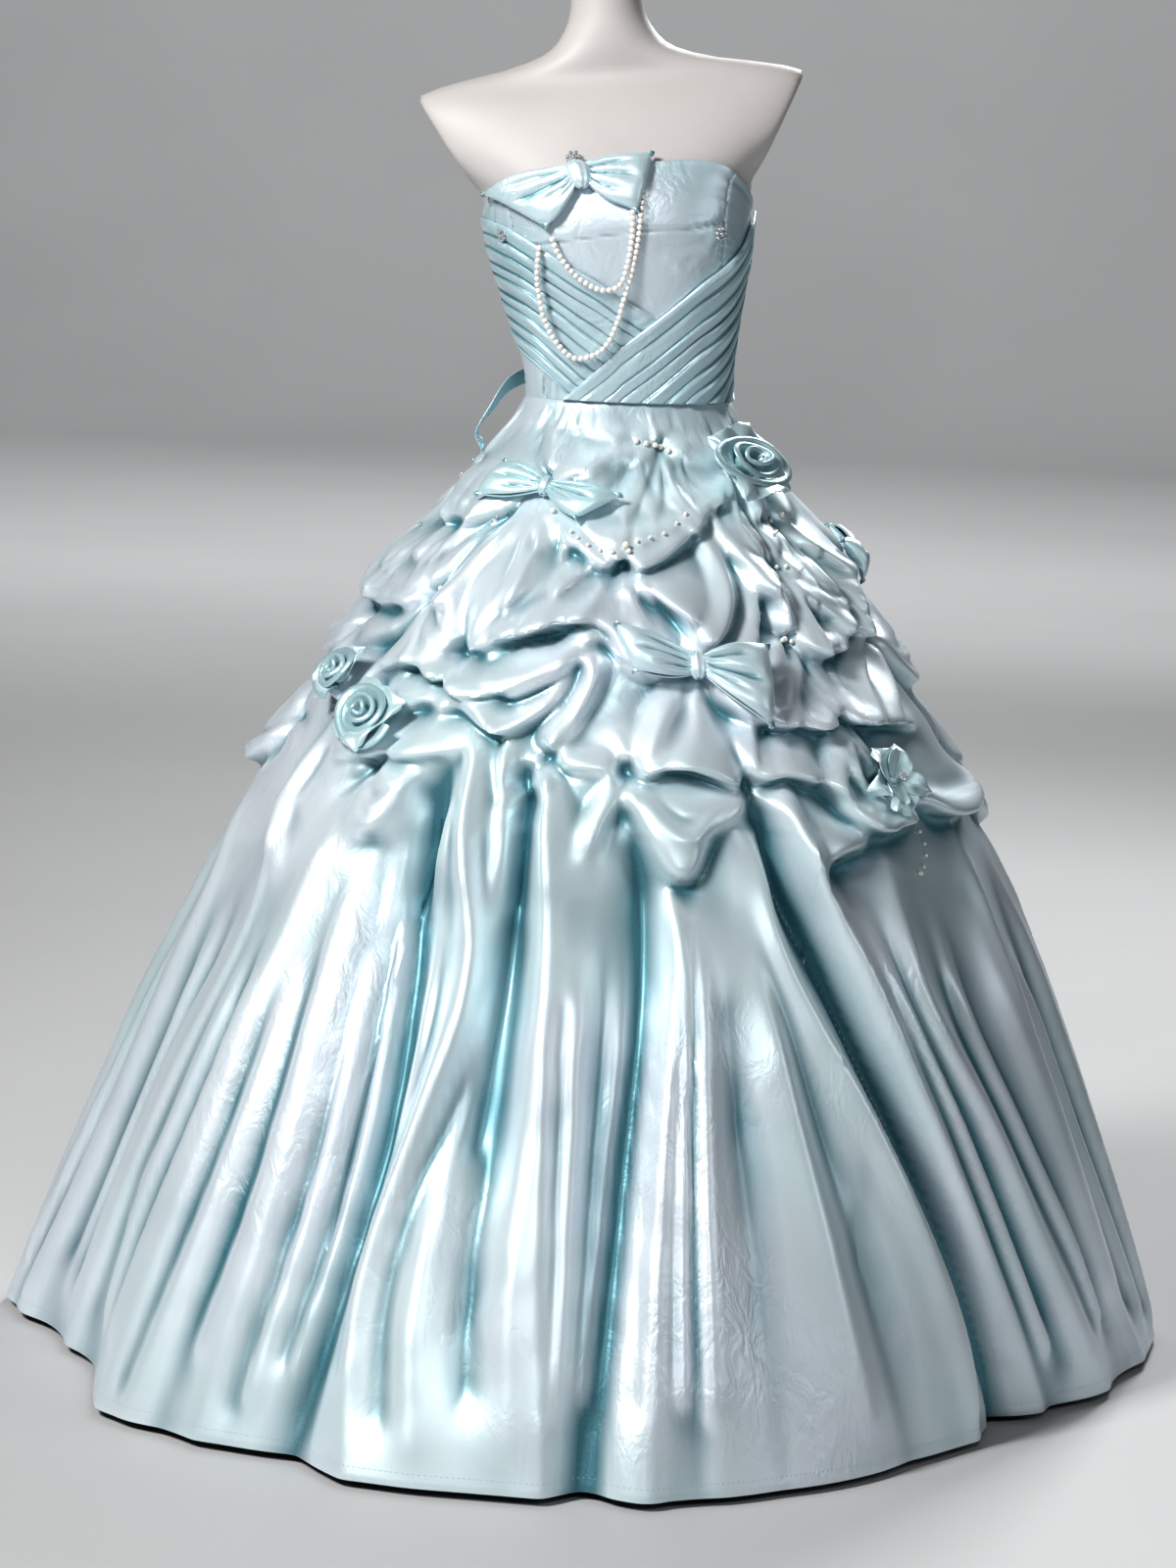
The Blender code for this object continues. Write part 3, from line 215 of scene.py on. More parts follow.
def mottled_finish(name, colour, shade, cloud_scale, tooth_scale, roughness, tooth_depth, metallic=0.0):
    """A material of one tone with faint clouds and a fine tooth."""
    material, tree, shader = start_material(name)
    tone = place_group(tree, mottle, Colour=colour, Shade=shade, Cloud_Scale=cloud_scale, Tooth_Scale=tooth_scale)
    tree.links.new(tone.outputs["Colour"], shader.inputs["Base Color"])
    tree.links.new(bump(tree, tone.outputs["Height"], 0.5, tooth_depth), shader.inputs["Normal"])
    set_inputs(shader, Roughness=roughness, Metallic=metallic)
    return material


def add_piece(name, points, faces, material):
    mesh = bpy.data.meshes.new(name)
    mesh.from_pydata(np.asarray(points).reshape(-1, 3).tolist(), [], faces)
    mesh.materials.append(material)
    mesh.shade_smooth()
    piece = bpy.data.objects.new(name, mesh)
    scene.collection.objects.link(piece)
    return piece


floor_turns = np.linspace(0.0, 2 * math.pi, FLOOR_SIDES + 1)[:-1]
floor_points = [np.stack((np.cos(floor_turns), np.sin(floor_turns), np.zeros(FLOOR_SIDES)), axis=1) * WALL_FOOT]
floor_faces = [list(range(FLOOR_SIDES))]
wall_sides = [side for side in range(FLOOR_SIDES) if WALL_HALF_TURN > abs(floor_turns[side] - math.pi / 2)]
for turn in np.radians(np.linspace(90 / WALL_STEPS, 90, WALL_STEPS)):
    reach, level = WALL_FOOT + WALL_CURVE * math.sin(turn), WALL_CURVE * (1 - math.cos(turn))
    wall_ring = (np.cos(floor_turns) * reach, np.sin(floor_turns) * reach, np.full(FLOOR_SIDES, level))
    floor_points.append(np.stack(wall_ring, axis=1))
for ring in range(WALL_STEPS):
    for side in wall_sides:
        start, end = ring * FLOOR_SIDES + side, ring * FLOOR_SIDES + side + 1
        floor_faces.append([start, start + FLOOR_SIDES, end + FLOOR_SIDES, end])
floor = add_piece(
    "studio_floor", floor_points, floor_faces,
    mottled_finish("floor_paint", (0.52, 0.525, 0.53, 1.0), (0.49, 0.495, 0.50, 1.0), 0.6, 60.0, 0.65, 0.0005),
)
floor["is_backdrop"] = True

# ---- Dress form ----
# A limbless display form in matt white, moulded in one piece with flat arm cuts and a plain neck block.
# It leans a little towards -X, and it is held by a brushed steel pole on a round foot.
WAIST_HEIGHT = 1.000
BODY_LEAN = -0.0945
SHOULDER_TILT = 0.105
SECTION_POWER = 2.3
Section = namedtuple("Section", "height half_width front back")
FORM_SECTIONS = (
    Section(0.720, 0.128, 0.096, 0.108), Section(0.800, 0.146, 0.106, 0.122),
    Section(0.870, 0.138, 0.102, 0.118), Section(0.940, 0.120, 0.090, 0.100),
    Section(1.000, 0.1030, 0.0790, 0.0830), Section(1.050, 0.1060, 0.0850, 0.0860),
    Section(1.100, 0.1165, 0.0975, 0.0910), Section(1.150, 0.1285, 0.1120, 0.0960),
    Section(1.185, 0.1330, 0.1145, 0.0980), Section(1.215, 0.1400, 0.1060, 0.0985),
    Section(1.228, 0.1500, 0.1000, 0.0980), Section(1.240, 0.1650, 0.0930, 0.0970),
    Section(1.265, 0.1950, 0.0800, 0.0930), Section(1.290, 0.2080, 0.0680, 0.0860),
    Section(1.310, 0.2080, 0.0550, 0.0750), Section(1.323, 0.1960, 0.0430, 0.0620),
    Section(1.333, 0.1600, 0.0380, 0.0540), Section(1.343, 0.1050, 0.0390, 0.0500),
    Section(1.357, 0.0640, 0.0410, 0.0470), Section(1.378, 0.0450, 0.0410, 0.0440),
    Section(1.405, 0.0365, 0.0390, 0.0410), Section(1.450, 0.0355, 0.0380, 0.0400),
)
# flat arm cuts: how far out the body reaches at each height, and how round their rims are
ARM_CUT = ((1.205, 0.300), (1.212, 0.139), (1.225, 0.146), (1.318, 0.197), (1.345, 0.212))
ARM_RIM = 0.0032
FORM_COLUMNS = 128
FORM_ROWS = 116
FORM_RIM = 0.006


def smoothstep(value, low, high):
    share = np.clip((value - low) / (high - low), 0.0, 1.0)
    return share * share * (3.0 - 2.0 * share)


def smooth_curve(points, steps_each):
    """A Catmull-Rom curve through the points, with both ends kept."""
    path = np.array(points, dtype=float)
    padded = np.vstack((2 * path[0] - path[1], path, 2 * path[-1] - path[-2]))
    share = (np.arange(steps_each) / steps_each)[:, None]
    result = []
    for before, start, end, after in zip(padded, padded[1:], padded[2:], padded[3:]):
        straight = 2 * start + (end - before) * share
        bend = (2 * before - 5 * start + 4 * end - after) * share**2
        twist = (3 * start - before - 3 * end + after) * share**3
        result.append(0.5 * (straight + bend + twist))
    return np.vstack(result + [path[-1:]])


def smooth_table(rows):
    """A function that reads a smooth curve through rows of a position and a value."""
    curve = smooth_curve(sorted(rows), 8)
    return lambda position: np.interp(position, curve[:, 0], curve[:, 1])


FORM_WIDTH = smooth_table([(s.height, s.half_width) for s in FORM_SECTIONS])
FORM_FRONT = smooth_table([(s.height, s.front) for s in FORM_SECTIONS])
FORM_BACK = smooth_table([(s.height, s.back) for s in FORM_SECTIONS])


def rounded(value, power):
    return np.sign(value) * np.abs(value) ** (2.0 / power)


def body_skin(angle, height):
    """Points on the form: rounded ellipses, flat arm cuts, leaning and tipped towards -X above the waist."""
    turn = np.radians(angle)
    depth = np.where(np.cos(turn) > 0, FORM_FRONT(height), FORM_BACK(height))
    power = SECTION_POWER - 0.3 * smoothstep(height, 1.34, 1.40)
    x = FORM_WIDTH(height) * rounded(np.sin(turn), power)
    reach = np.interp(height, *zip(*ARM_CUT))
    over = np.clip((reach - np.abs(x)) / ARM_RIM, -40.0, 40.0)
    x = np.sign(x) * np.minimum(np.abs(x), reach - ARM_RIM * np.log1p(np.exp(over)))
    y = -depth * rounded(np.cos(turn), power)
    centre = BODY_LEAN * np.maximum(height - WAIST_HEIGHT, 0.0)
    tilt = SHOULDER_TILT * smoothstep(height, WAIST_HEIGHT + 0.02, WAIST_HEIGHT + 0.28)
    return np.stack((x + centre, y, height + tilt * x), axis=-1)


def body_point(angle, height, out):
    """Points moved out from the form along its surface's normal."""
    angle, height = np.broadcast_arrays(np.asarray(angle, float), np.asarray(height, float))
    across = body_skin(angle + 1.5, height) - body_skin(angle - 1.5, height)
    upward = body_skin(angle, height + 0.004) - body_skin(angle, height - 0.004)
    normal = np.cross(across, upward)
    normal /= np.linalg.norm(normal, axis=-1, keepdims=True)
    return body_skin(angle, height) + normal * np.expand_dims(np.asarray(out, float) * np.ones(angle.shape), -1)


def ring_body(name, rings, material):
    """A closed body through rings of points listed from its top to its foot, with flat ends."""
    rows, columns = rings.shape[:2]
    count = rows * columns
    index = np.arange(count).reshape(rows, columns)
    after = np.roll(index, -1, axis=1)
    faces = np.stack((index[:-1], index[1:], after[1:], after[:-1]), axis=-1).reshape(-1, 4).tolist()
    for start, top in ((0, True), (count - columns, False)):
        centre = count + (0 if top else 1)
        for column in range(columns):
            pair = [start + column, start + (column + 1) % columns]
            faces.append([centre] + (pair if top else pair[::-1]))
    points = np.vstack((rings.reshape(-1, 3), rings[0].mean(0), rings[-1].mean(0)))
    return add_piece(name, points, faces, material)


form_angles = np.arange(FORM_COLUMNS) * 360.0 / FORM_COLUMNS
form_top = FORM_SECTIONS[-1].height
form_foot = FORM_SECTIONS[0].height
form_heights = np.linspace(form_top, form_foot, FORM_ROWS)
form_rings = body_skin(*np.meshgrid(form_angles, form_heights))
rim_turns = np.radians((18, 42, 66, 88))
caps = []
for ring, sign in ((form_rings[0], 1.0), (form_rings[-1], -1.0)):
    middle = ring.mean(0)
    outward = (ring - middle) / np.linalg.norm(ring - middle, axis=1, keepdims=True)
    cap = [ring - outward * FORM_RIM * (1 - math.cos(turn)) for turn in rim_turns]
    for step, turn in enumerate(rim_turns):
        cap[step][:, 2] = ring[:, 2] - sign * FORM_RIM * (1 - math.sin(turn))
    caps.append(cap)
keep = np.abs(form_heights - form_top) > FORM_RIM
keep &= np.abs(form_heights - form_foot) > FORM_RIM
form_rings = np.array(caps[0][::-1] + list(form_rings[keep]) + caps[1])
form_paint = mottled_finish(
    "form_matt_white", (0.50, 0.478, 0.468, 1.0), (0.47, 0.448, 0.440, 1.0), 9.0, 900.0, 0.52, 0.00025
)
dress_form = ring_body("dress_form_torso", form_rings, form_paint)
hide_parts("form_torso")
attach(dress_form, "root")

steel = mottled_finish(
    "brushed_steel", (0.62, 0.62, 0.63, 1.0), (0.52, 0.52, 0.54, 1.0), 30.0, 1500.0, 0.28, 0.0001, metallic=1.0
)
for node in ("stand_pole", "stand_base"):
    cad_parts[node].data.materials.clear()
    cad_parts[node].data.materials.append(steel)

# ---- Satin and the bodice ----
# Duchess satin: a smooth sateen face that goes from white light to a deep aqua painted shade in its hollows, with
# pale patches of painted sheen. The strapless bodice has a centre front, two side fronts with cup shaping, and two
# backs, faced along the top edge.
FORM_CLEARANCE = 0.0024
CLOTH_WALL = 0.0020
LAYER_CLEARANCE = 0.0016
BODICE_OUT = FORM_CLEARANCE + CLOTH_WALL
WRAP_IN = BODICE_OUT + LAYER_CLEARANCE
BODICE_WALL = 0.0014
BODICE_RADIUS = 0.125
BODICE_DEPTH = 0.24
BUST_RADIUS = 0.115
WAIST_RADIUS = 0.095
SEAM_GAP = 0.0003
TOP_STITCH_DROP = 0.0075
NECKLINE = ((0, 1.239), (24, 1.240), (40, 1.234), (56, 1.222), (76, 1.203), (90, 1.194), (130, 1.185), (180, 1.180))
CUP_SEAM = ((-50, 1.158), (-28, 1.166), (-16, 1.169), (-4, 1.172), (5, 1.175), (26, 1.175), (41, 1.178), (50, 1.181))
BODICE_STEP = 0.0029
# soft creases of the bodice: path, lift (a trough where it is negative) and half width
Crease = namedtuple("Crease", "path lift width")
BODICE_CREASES = (
    Crease(((16, 1.152), (22, 1.148), (29, 1.151)), 0.0012, 0.0045),
    Crease(((20, 1.141), (27, 1.136), (33, 1.140)), 0.0014, 0.0040),
    Crease(((31, 1.146), (34, 1.139), (36, 1.131)), 0.0010, 0.0035),
    Crease(((-30, 1.214), (-14, 1.205), (6, 1.210), (30, 1.216)), 0.0012, 0.0140),
    Crease(((8, 1.196), (26, 1.190), (44, 1.196)), -0.0010, 0.0100),
    Crease(((12, 1.162), (26, 1.160), (42, 1.164)), -0.0010, 0.0070),
    Crease(((-46, 1.003), (-44, 1.016), (-43, 1.030)), 0.0018, 0.0035),
    Crease(((-38, 1.002), (-37, 1.010), (-38, 1.019)), 0.0016, 0.0030),
    Crease(((-54, 1.003), (-53, 1.020), (-50, 1.034)), -0.0014, 0.0040),
    Crease(((-32, 1.002), (-33, 1.008)), 0.0014, 0.0026),
    Crease(((110, 1.150), (135, 1.120), (160, 1.128)), 0.0014, 0.0120),
    Crease(((112, 1.090), (140, 1.066), (170, 1.072)), 0.0014, 0.0110),
    Crease(((250, 1.150), (225, 1.120), (200, 1.128)), 0.0014, 0.0120),
    Crease(((248, 1.090), (220, 1.064), (190, 1.072)), 0.0014, 0.0110),
)

# the satin's colour: its own light colour, pale patches of painted sheen, and a deep colour painted into its hollows
# as painted shade, its amount shifted by a random drift
satin_tone, ends_in, ends_out = start_group(
    "satin_tone",
    {
        "Light": (0.6, 0.8, 0.85, 1.0), "Deep": (0.1, 0.4, 0.45, 1.0), "Bloom": (0.8, 0.84, 0.92, 1.0),
        "Hollow": 0.0, "Gain": 1.0, "Bloom Amount": 0.5,
    },
    Colour="Color", Hollow="Float",
)
place = satin_tone.nodes.new("ShaderNodeTexCoord").outputs["Object"]
drift = ranged(satin_tone, noise_node(satin_tone, 7.0, 2.0, coordinates=place).outputs[0], 0.30, 0.70, -0.10, 0.12)
painted_hollow_shade = maths(satin_tone, "MULTIPLY", ends_in.outputs["Hollow"], ends_in.outputs["Gain"])
painted_shade_and_drift = maths(satin_tone, "ADD", painted_hollow_shade, drift)
painted_shade_and_drift.node.use_clamp = True
# pale lavender-white patches at random spots: painted sheen
painted_sheen_patches = ranged(satin_tone, noise_node(satin_tone, 4.5, 2.0, coordinates=place).outputs[0], 0.42, 0.60)
painted_sheen_mask = maths(satin_tone, "MULTIPLY", painted_sheen_patches, ends_in.outputs["Bloom Amount"])
pale = mix_colours(satin_tone, painted_sheen_mask, ends_in.outputs["Light"], ends_in.outputs["Bloom"])
satin_tone.links.new(mix_colours(satin_tone, painted_shade_and_drift, pale, ends_in.outputs["Deep"]), ends_out.inputs["Colour"])
satin_tone.links.new(painted_shade_and_drift, ends_out.inputs["Hollow"])


def scaled_space(tree, coordinates, **factors):
    """Coordinates multiplied axis by axis by sockets or plain values."""
    factor = tree.nodes.new("ShaderNodeCombineXYZ")
    for axis, value in factors.items():
        feed(tree, factor.inputs[axis], value)
    product = tree.nodes.new("ShaderNodeVectorMath")
    product.operation = "MULTIPLY"
    tree.links.new(coordinates, product.inputs[0])
    tree.links.new(factor.outputs["Vector"], product.inputs[1])
    return product.outputs["Vector"]


sateen_grain, ends_in, ends_out = start_group(
    "sateen_grain", {"Across": 900.0, "Along": 260.0}, Height="Float", Fleck="Float"
)
cloth_map = sateen_grain.nodes.new("ShaderNodeUVMap")
cloth_map.uv_map = "cloth_metres"
scaled = scaled_space(
    sateen_grain, cloth_map.outputs["UV"], X=ends_in.outputs["Across"], Y=ends_in.outputs["Along"]
)
threads = noise_node(sateen_grain, 1.0, 2.0, 0.6, scaled)
sateen_grain.links.new(threads.outputs[0], ends_out.inputs["Height"])
sateen_grain.links.new(ranged(sateen_grain, threads.outputs[0], 0.35, 0.65), ends_out.inputs["Fleck"])

crumple, ends_in, ends_out = start_group("crumple", {"Scale": 18.0, "Fall": 0.35}, Height="Float")
place = crumple.nodes.new("ShaderNodeTexCoord").outputs["Object"]
fallen = scaled_space(crumple, place, X=1.0, Y=1.0, Z=ends_in.outputs["Fall"])
waves = noise_node(crumple, 18.0, 3.0, 0.55, fallen)
waves.inputs["Distortion"].default_value = 0.6
crumple.links.new(ends_in.outputs["Scale"], waves.inputs["Scale"])
ridge = maths(crumple, "ABSOLUTE", maths(crumple, "SUBTRACT", waves.outputs[0], 0.5))
where = noise_node(crumple, 5.0, 2.0, coordinates=place)
patches = ranged(crumple, where.outputs[0], 0.46, 0.66)
fading = maths(crumple, "MULTIPLY", ranged(crumple, ridge, 0.0, 0.16), patches)
crumple.links.new(fading, ends_out.inputs["Height"])

# the satin's own colour, the deep colour of the painted shade in its hollows, and the pale colour of its painted
# sheen
SATIN_LIGHT = (0.675, 0.81, 0.85, 1.0)
SATIN_HOLLOW_SHADE = (0.050, 0.185, 0.230, 1.0)
SATIN_PAINTED_SHEEN = (0.77, 0.82, 0.90, 1.0)
SATIN_ROUGHNESS = (0.37, 0.41)
THREADS_ACROSS = 1100.0
THREADS_ALONG = 300.0
THREAD_DEPTH = 0.00025
FLECK_AMOUNT = 0.04
# points across a shell's round rim; how much painted shade a rim takes, as a share of the cloth beside it, and how
# much the wrong side takes
RIM_STEPS = 3
EDGE_SHADE = 0.3
BACK_SHADE = 0.7


def satin_finish(
    name, light=SATIN_LIGHT, deep=SATIN_HOLLOW_SHADE, gain=1.0, bloom_amount=0.5, crumples=(12.0, 0.35, 0.0015)
):
    """Satin with its tone (painted hollow shade and painted sheen), thread grain and small crumples (scale, fall and
    depth) set for one kind of piece.
    """
    material, tree, shader = start_material(name)
    # the hollow attribute, scaled by gain, mixes in the deep colour as painted shade
    hollow = tree.nodes.new("ShaderNodeAttribute")
    hollow.attribute_name = "hollow"
    tone = place_group(
        tree, satin_tone, Light=light, Deep=deep, Bloom=SATIN_PAINTED_SHEEN, Gain=gain, Bloom_Amount=bloom_amount
    )
    tree.links.new(hollow.outputs["Fac"], tone.inputs["Hollow"])
    grain = place_group(tree, sateen_grain, Across=THREADS_ACROSS, Along=THREADS_ALONG)
    folds = place_group(tree, crumple, Scale=crumples[0], Fall=crumples[1])
    flecks = maths(tree, "MULTIPLY", grain.outputs["Fleck"], FLECK_AMOUNT)
    flecked = mix_colours(tree, flecks, tone.outputs["Colour"], (1, 1, 1, 1))
    tree.links.new(flecked, shader.inputs["Base Color"])
    coarse = bump(tree, folds.outputs["Height"], 0.6, crumples[2])
    fine = bump(tree, grain.outputs["Height"], 0.16, THREAD_DEPTH, coarse)
    tree.links.new(fine, shader.inputs["Normal"])
    roughness = ranged(tree, grain.outputs["Fleck"], 0.0, 1.0, *SATIN_ROUGHNESS)
    tree.links.new(roughness, shader.inputs["Roughness"])
    set_inputs(
        shader, Metallic=0.42, Specular_IOR_Level=0.60,
        Sheen_Weight=0.16, Sheen_Roughness=0.35, Sheen_Tint=(0.86, 0.88, 1.0, 1.0),
    )
    return material


def soft_peak(distance, width):
    """1 at no distance, falling softly to nearly 0 at twice the width."""
    return np.exp(-((distance / width) ** 2))


def unit(vectors):
    return vectors / np.linalg.norm(vectors, axis=-1, keepdims=True)


def face_normals(face, closed=False):
    """Unit normals of a grid of points, rows running downwards and columns to the right."""
    if closed:
        across = np.roll(face, -1, axis=1) - np.roll(face, 1, axis=1)
    else:
        across = np.gradient(face, axis=1)
    return unit(np.cross(across, -np.gradient(face, axis=0)))


def blurred(field, steps, closed=False):
    """The field averaged over a square of the grid, twice for a soft fall-off."""
    for _ in range(2):
        for axis in (0, 1):
            pad = [(0, 0)] * field.ndim
            pad[axis] = (steps + 1, steps)
            wide = np.pad(field, pad, mode="wrap" if closed and axis == 1 else "edge")
            total = np.cumsum(wide, axis=axis)
            span = 2 * steps + 1
            high = np.take(total, np.arange(span, total.shape[axis]), axis=axis)
            low = np.take(total, np.arange(0, total.shape[axis] - span), axis=axis)
            field = (high - low) / span
    return field


def hollow_of(face, scales, closed=False):
    """How deep each point lies under the cloth round it, from 0 to 1; scales are grid steps and a full depth."""
    normal = face_normals(face, closed)
    hollow = np.zeros(face.shape[:2])
    for steps, depth in scales:
        below = np.sum((blurred(face, steps, closed) - face) * normal, axis=2)
        hollow = np.maximum(hollow, np.clip(below / depth, 0.0, 1.0))
    return hollow


def cloth_shell(name, face, wall, material, hollow=None, back=None, closed=False):
    """A thin closed shell with round edges from a grid of points on the cloth's right side."""
    rows, columns = face.shape[:2]
    if back is None:
        back = face - wall * face_normals(face, closed)
    if hollow is None:
        hollow = np.zeros((rows, columns))
    rims = []
    for edge, beside in ((rows - 1, rows - 2), (0, 1)):
        middle = (face[edge] + back[edge]) / 2
        half = (face[edge] - back[edge]) / 2
        along = unit(face[edge] - face[beside]) * np.linalg.norm(half, axis=1, keepdims=True)
        turns = np.radians(np.arange(1, RIM_STEPS + 1) * 180.0 / (RIM_STEPS + 1))
        rims.append([middle + half * math.cos(turn) + along * math.sin(turn) for turn in turns])
    loop = np.concatenate((face, np.array(rims[0]), back[::-1], np.array(rims[1][::-1])))
    # the rims take a share of the painted shade of the cloth beside them, and the wrong side a fixed painted shade
    foot_shade, top_shade = (np.repeat(edge * EDGE_SHADE, RIM_STEPS, axis=0) for edge in (hollow[-1:], hollow[:1]))
    shade = np.concatenate((hollow, foot_shade, np.full(hollow.shape, BACK_SHADE), top_shade))
    levels = len(loop)
    index = np.arange(levels * columns).reshape(levels, columns)
    below = np.roll(index, -1, axis=0)
    if closed:
        beside_index, beside_below = np.roll(index, -1, axis=1), np.roll(below, -1, axis=1)
        faces = np.stack((index, below, beside_below, beside_index), axis=-1).reshape(-1, 4).tolist()
    else:
        faces = np.stack((index[:, :-1], below[:, :-1], below[:, 1:], index[:, 1:]), axis=-1).reshape(-1, 4).tolist()
        back_level = 2 * rows + RIM_STEPS - 1
        for column, turned in ((0, True), (columns - 1, False)):
            for row in range(rows - 1):
                square = [index[row, column], index[row + 1, column]]
                square += [index[back_level - row - 1, column], index[back_level - row, column]]
                faces.append([int(i) for i in (square[::-1] if turned else square)])
            for start in (rows - 1, levels - RIM_STEPS - 1):
                fan = [int(index[(start + step) % levels, column]) for step in range(RIM_STEPS + 2)]
                faces.append(fan[::-1] if turned else fan)
    piece = add_piece(name, loop, faces, material)
    mesh = piece.data
    mesh.attributes.new("hollow", "FLOAT", "POINT").data.foreach_set("value", shade.ravel().astype(np.float32))
    across = np.linalg.norm(np.diff(face, axis=1), axis=2).mean(0)
    downward = np.linalg.norm(np.diff(face, axis=0), axis=2).mean(1)
    u = np.concatenate(([0.0], np.cumsum(across)))
    v = np.concatenate(([0.0], np.cumsum(downward)))
    v_loop = np.concatenate((v, np.full(RIM_STEPS, v[-1]), v[::-1], np.zeros(RIM_STEPS)))
    spots = np.stack(np.broadcast_arrays(u[None, :], v_loop[:, None]), axis=-1).reshape(-1, 2)
    mesh.set_sharp_from_angle(angle=math.radians(75))
    corners = np.zeros(len(mesh.loops), dtype=np.int64)
    mesh.loops.foreach_get("vertex_index", corners)
    mesh.uv_layers.new(name="cloth_metres").data.foreach_set("uv", spots[corners].ravel().astype(np.float32))
    return piece


def lift_along(angle, height, path, width):
    """A soft crest along a path on the body: 1 on the path, 0 past its flanks and its ends."""
    line = smooth_curve(path, 5)
    steps = np.stack((np.radians(np.gradient(line[:, 0])) * BUST_RADIUS, np.gradient(line[:, 1])), axis=1)
    spacing = np.linalg.norm(steps, axis=1)
    tangent = steps / spacing[:, None]
    reach = 3.2 * width
    turn = (angle - line[:, 0].mean() + 180.0) % 360.0 - 180.0
    half_turn = np.ptp(line[:, 0]) / 2 + np.degrees(reach / BUST_RADIUS)
    near = (np.abs(turn) < half_turn) & (height > line[:, 1].min() - reach) & (height < line[:, 1].max() + reach)
    crest = np.zeros(angle.shape)
    spots = np.nonzero(near)
    if not len(spots[0]):
        return crest
    turn_near = (angle[spots][:, None] - line[None, :, 0] + 180.0) % 360.0 - 180.0
    east = np.radians(turn_near) * BUST_RADIUS
    north = height[spots][:, None] - line[None, :, 1]
    nearest = np.argmin(east**2 + north**2, axis=1)
    rows = np.arange(len(nearest))
    east, north = east[rows, nearest], north[rows, nearest]
    along = east * tangent[nearest, 0] + north * tangent[nearest, 1]
    aside = tangent[nearest, 0] * north - tangent[nearest, 1] * east
    share = (nearest + along / spacing[nearest]) / (len(line) - 1)
    ends = smoothstep(share, -0.02, 0.22) * smoothstep(-share, -1.02, -0.78)
    crest[spots] = ends * np.exp(-np.abs(aside / width) ** 1.5)
    return crest


neckline = smooth_table(NECKLINE)
# the bodice's light colour is darker than the skirt's: painted shade for its front-facing panels, which reflect less
# of the key light
bodice_satin = satin_finish(
    "bodice_satin", light=(0.48, 0.655, 0.70, 1.0), bloom_amount=0.6, crumples=(26.0, 0.8, 0.0016)
)
Panel = namedtuple("Panel", "name node start end flat")
PANELS = (
    Panel("bodice_centre_front", "bodice_front", -50, 50, (0.235, 0.262)),
    Panel("bodice_side_front_right", "bodice_side_right", 50, 90, (0.090, 0.225)),
    Panel("bodice_back_panel_right", "bodice_back_right", 90, 180, (0.215, 0.215)),
    Panel("bodice_back_panel_left", "bodice_back_left", 180, 270, (0.215, 0.215)),
    Panel("bodice_side_front_left", "bodice_side_left", 270, 310, (0.090, 0.225)),
)
bodice = []
for panel in PANELS:
    columns = round(math.radians(panel.end - panel.start) * BODICE_RADIUS / BODICE_STEP) + 1
    angles = np.linspace(panel.start, panel.end, columns)
    seam = math.degrees(SEAM_GAP / 2 / WAIST_RADIUS)
    angles[0] += seam
    angles[-1] -= seam
    folded = np.abs((angles + 180) % 360 - 180)
    rows = round(BODICE_DEPTH / BODICE_STEP)
    fall = np.linspace(0.0, 1.0, rows)[:, None]
    bottom = WAIST_HEIGHT + SEAM_GAP
    heights = neckline(folded)[None, :] * (1 - fall) + bottom * fall
    grid_angles = np.broadcast_to(angles, heights.shape)
    out = np.full(heights.shape, BODICE_OUT - 0.0004)
    for crease in BODICE_CREASES:
        out += lift_along(grid_angles, heights, crease.path, crease.width) * crease.lift
    if panel.node == "bodice_front":
        cup = np.interp(angles, *zip(*CUP_SEAM))[None, :]
        above = heights - cup
        out += 0.0010 * smoothstep(above, 0.0, 0.004) * smoothstep(-above, -0.045, -0.004)
        out -= 0.0012 * soft_peak(above, 0.0016)
    # the top edge is turned in and stitched, and the seams pucker a little
    from_top = neckline(folded)[None, :] - heights
    out += 0.0007 * soft_peak(from_top, 0.0035) - 0.0005 * soft_peak(from_top - TOP_STITCH_DROP, 0.0014)
    for seam_angle in (panel.start, panel.end):
        beside = np.radians(np.abs(angles - seam_angle))[None, :] * BUST_RADIUS
        ripple = np.array([noise.noise((height * 95.0, seam_angle, 0.0)) for height in heights[:, 0]])
        ripple = ripple + 0.6 * np.sin(heights[:, 0] * 700.0 + seam_angle)
        out += 0.0011 * ripple[:, None] * np.exp(-beside / 0.0075)
        out -= 0.0007 * soft_peak(beside, 0.0012)
    face = body_point(grid_angles, heights, out)
    face[-1, :, 2] = bottom + 0.0006
    # painted shade: the deep colour in the panel's hollows
    piece = cloth_shell(panel.name, face, BODICE_WALL, bodice_satin, hollow_of(face, ((3, 0.0016), (8, 0.004))))
    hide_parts(panel.node)
    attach(piece, "root")
    bodice.append(piece)

# ---- Pleated wraps ----
# Two bias lengths of satin are laid in uneven knife pleats from the side seams and cross at the front. Each
# pleat's folded edge stands up over the one above it, and the pleats flatten towards the crossing.
Wrap = namedtuple("Wrap", "name node side_angle top_edge side_pitch end_pitch pleats uneven relief flat")
RIGHT_WRAP = Wrap(
    "wrap_pleats_right", "wrap_right", 90,
    (
        (-36, 1.001), (-28, 1.011), (-8, 1.043), (2, 1.066), (13, 1.085), (26, 1.106), (38, 1.124), (50, 1.137),
        (65, 1.155), (76, 1.173), (90, 1.188),
    ),
    0.0195, 0.0175, 9, (0.0, 0.9, -1.2, 0.8, 1.6, -0.9, 0.6, -1.4, 0.8, 0.0),
    (1.25, 0.75, 1.0, 0.7, 1.15, 0.8, 1.1, 0.7, 0.9, 0.8), (0.300, 0.190),
)
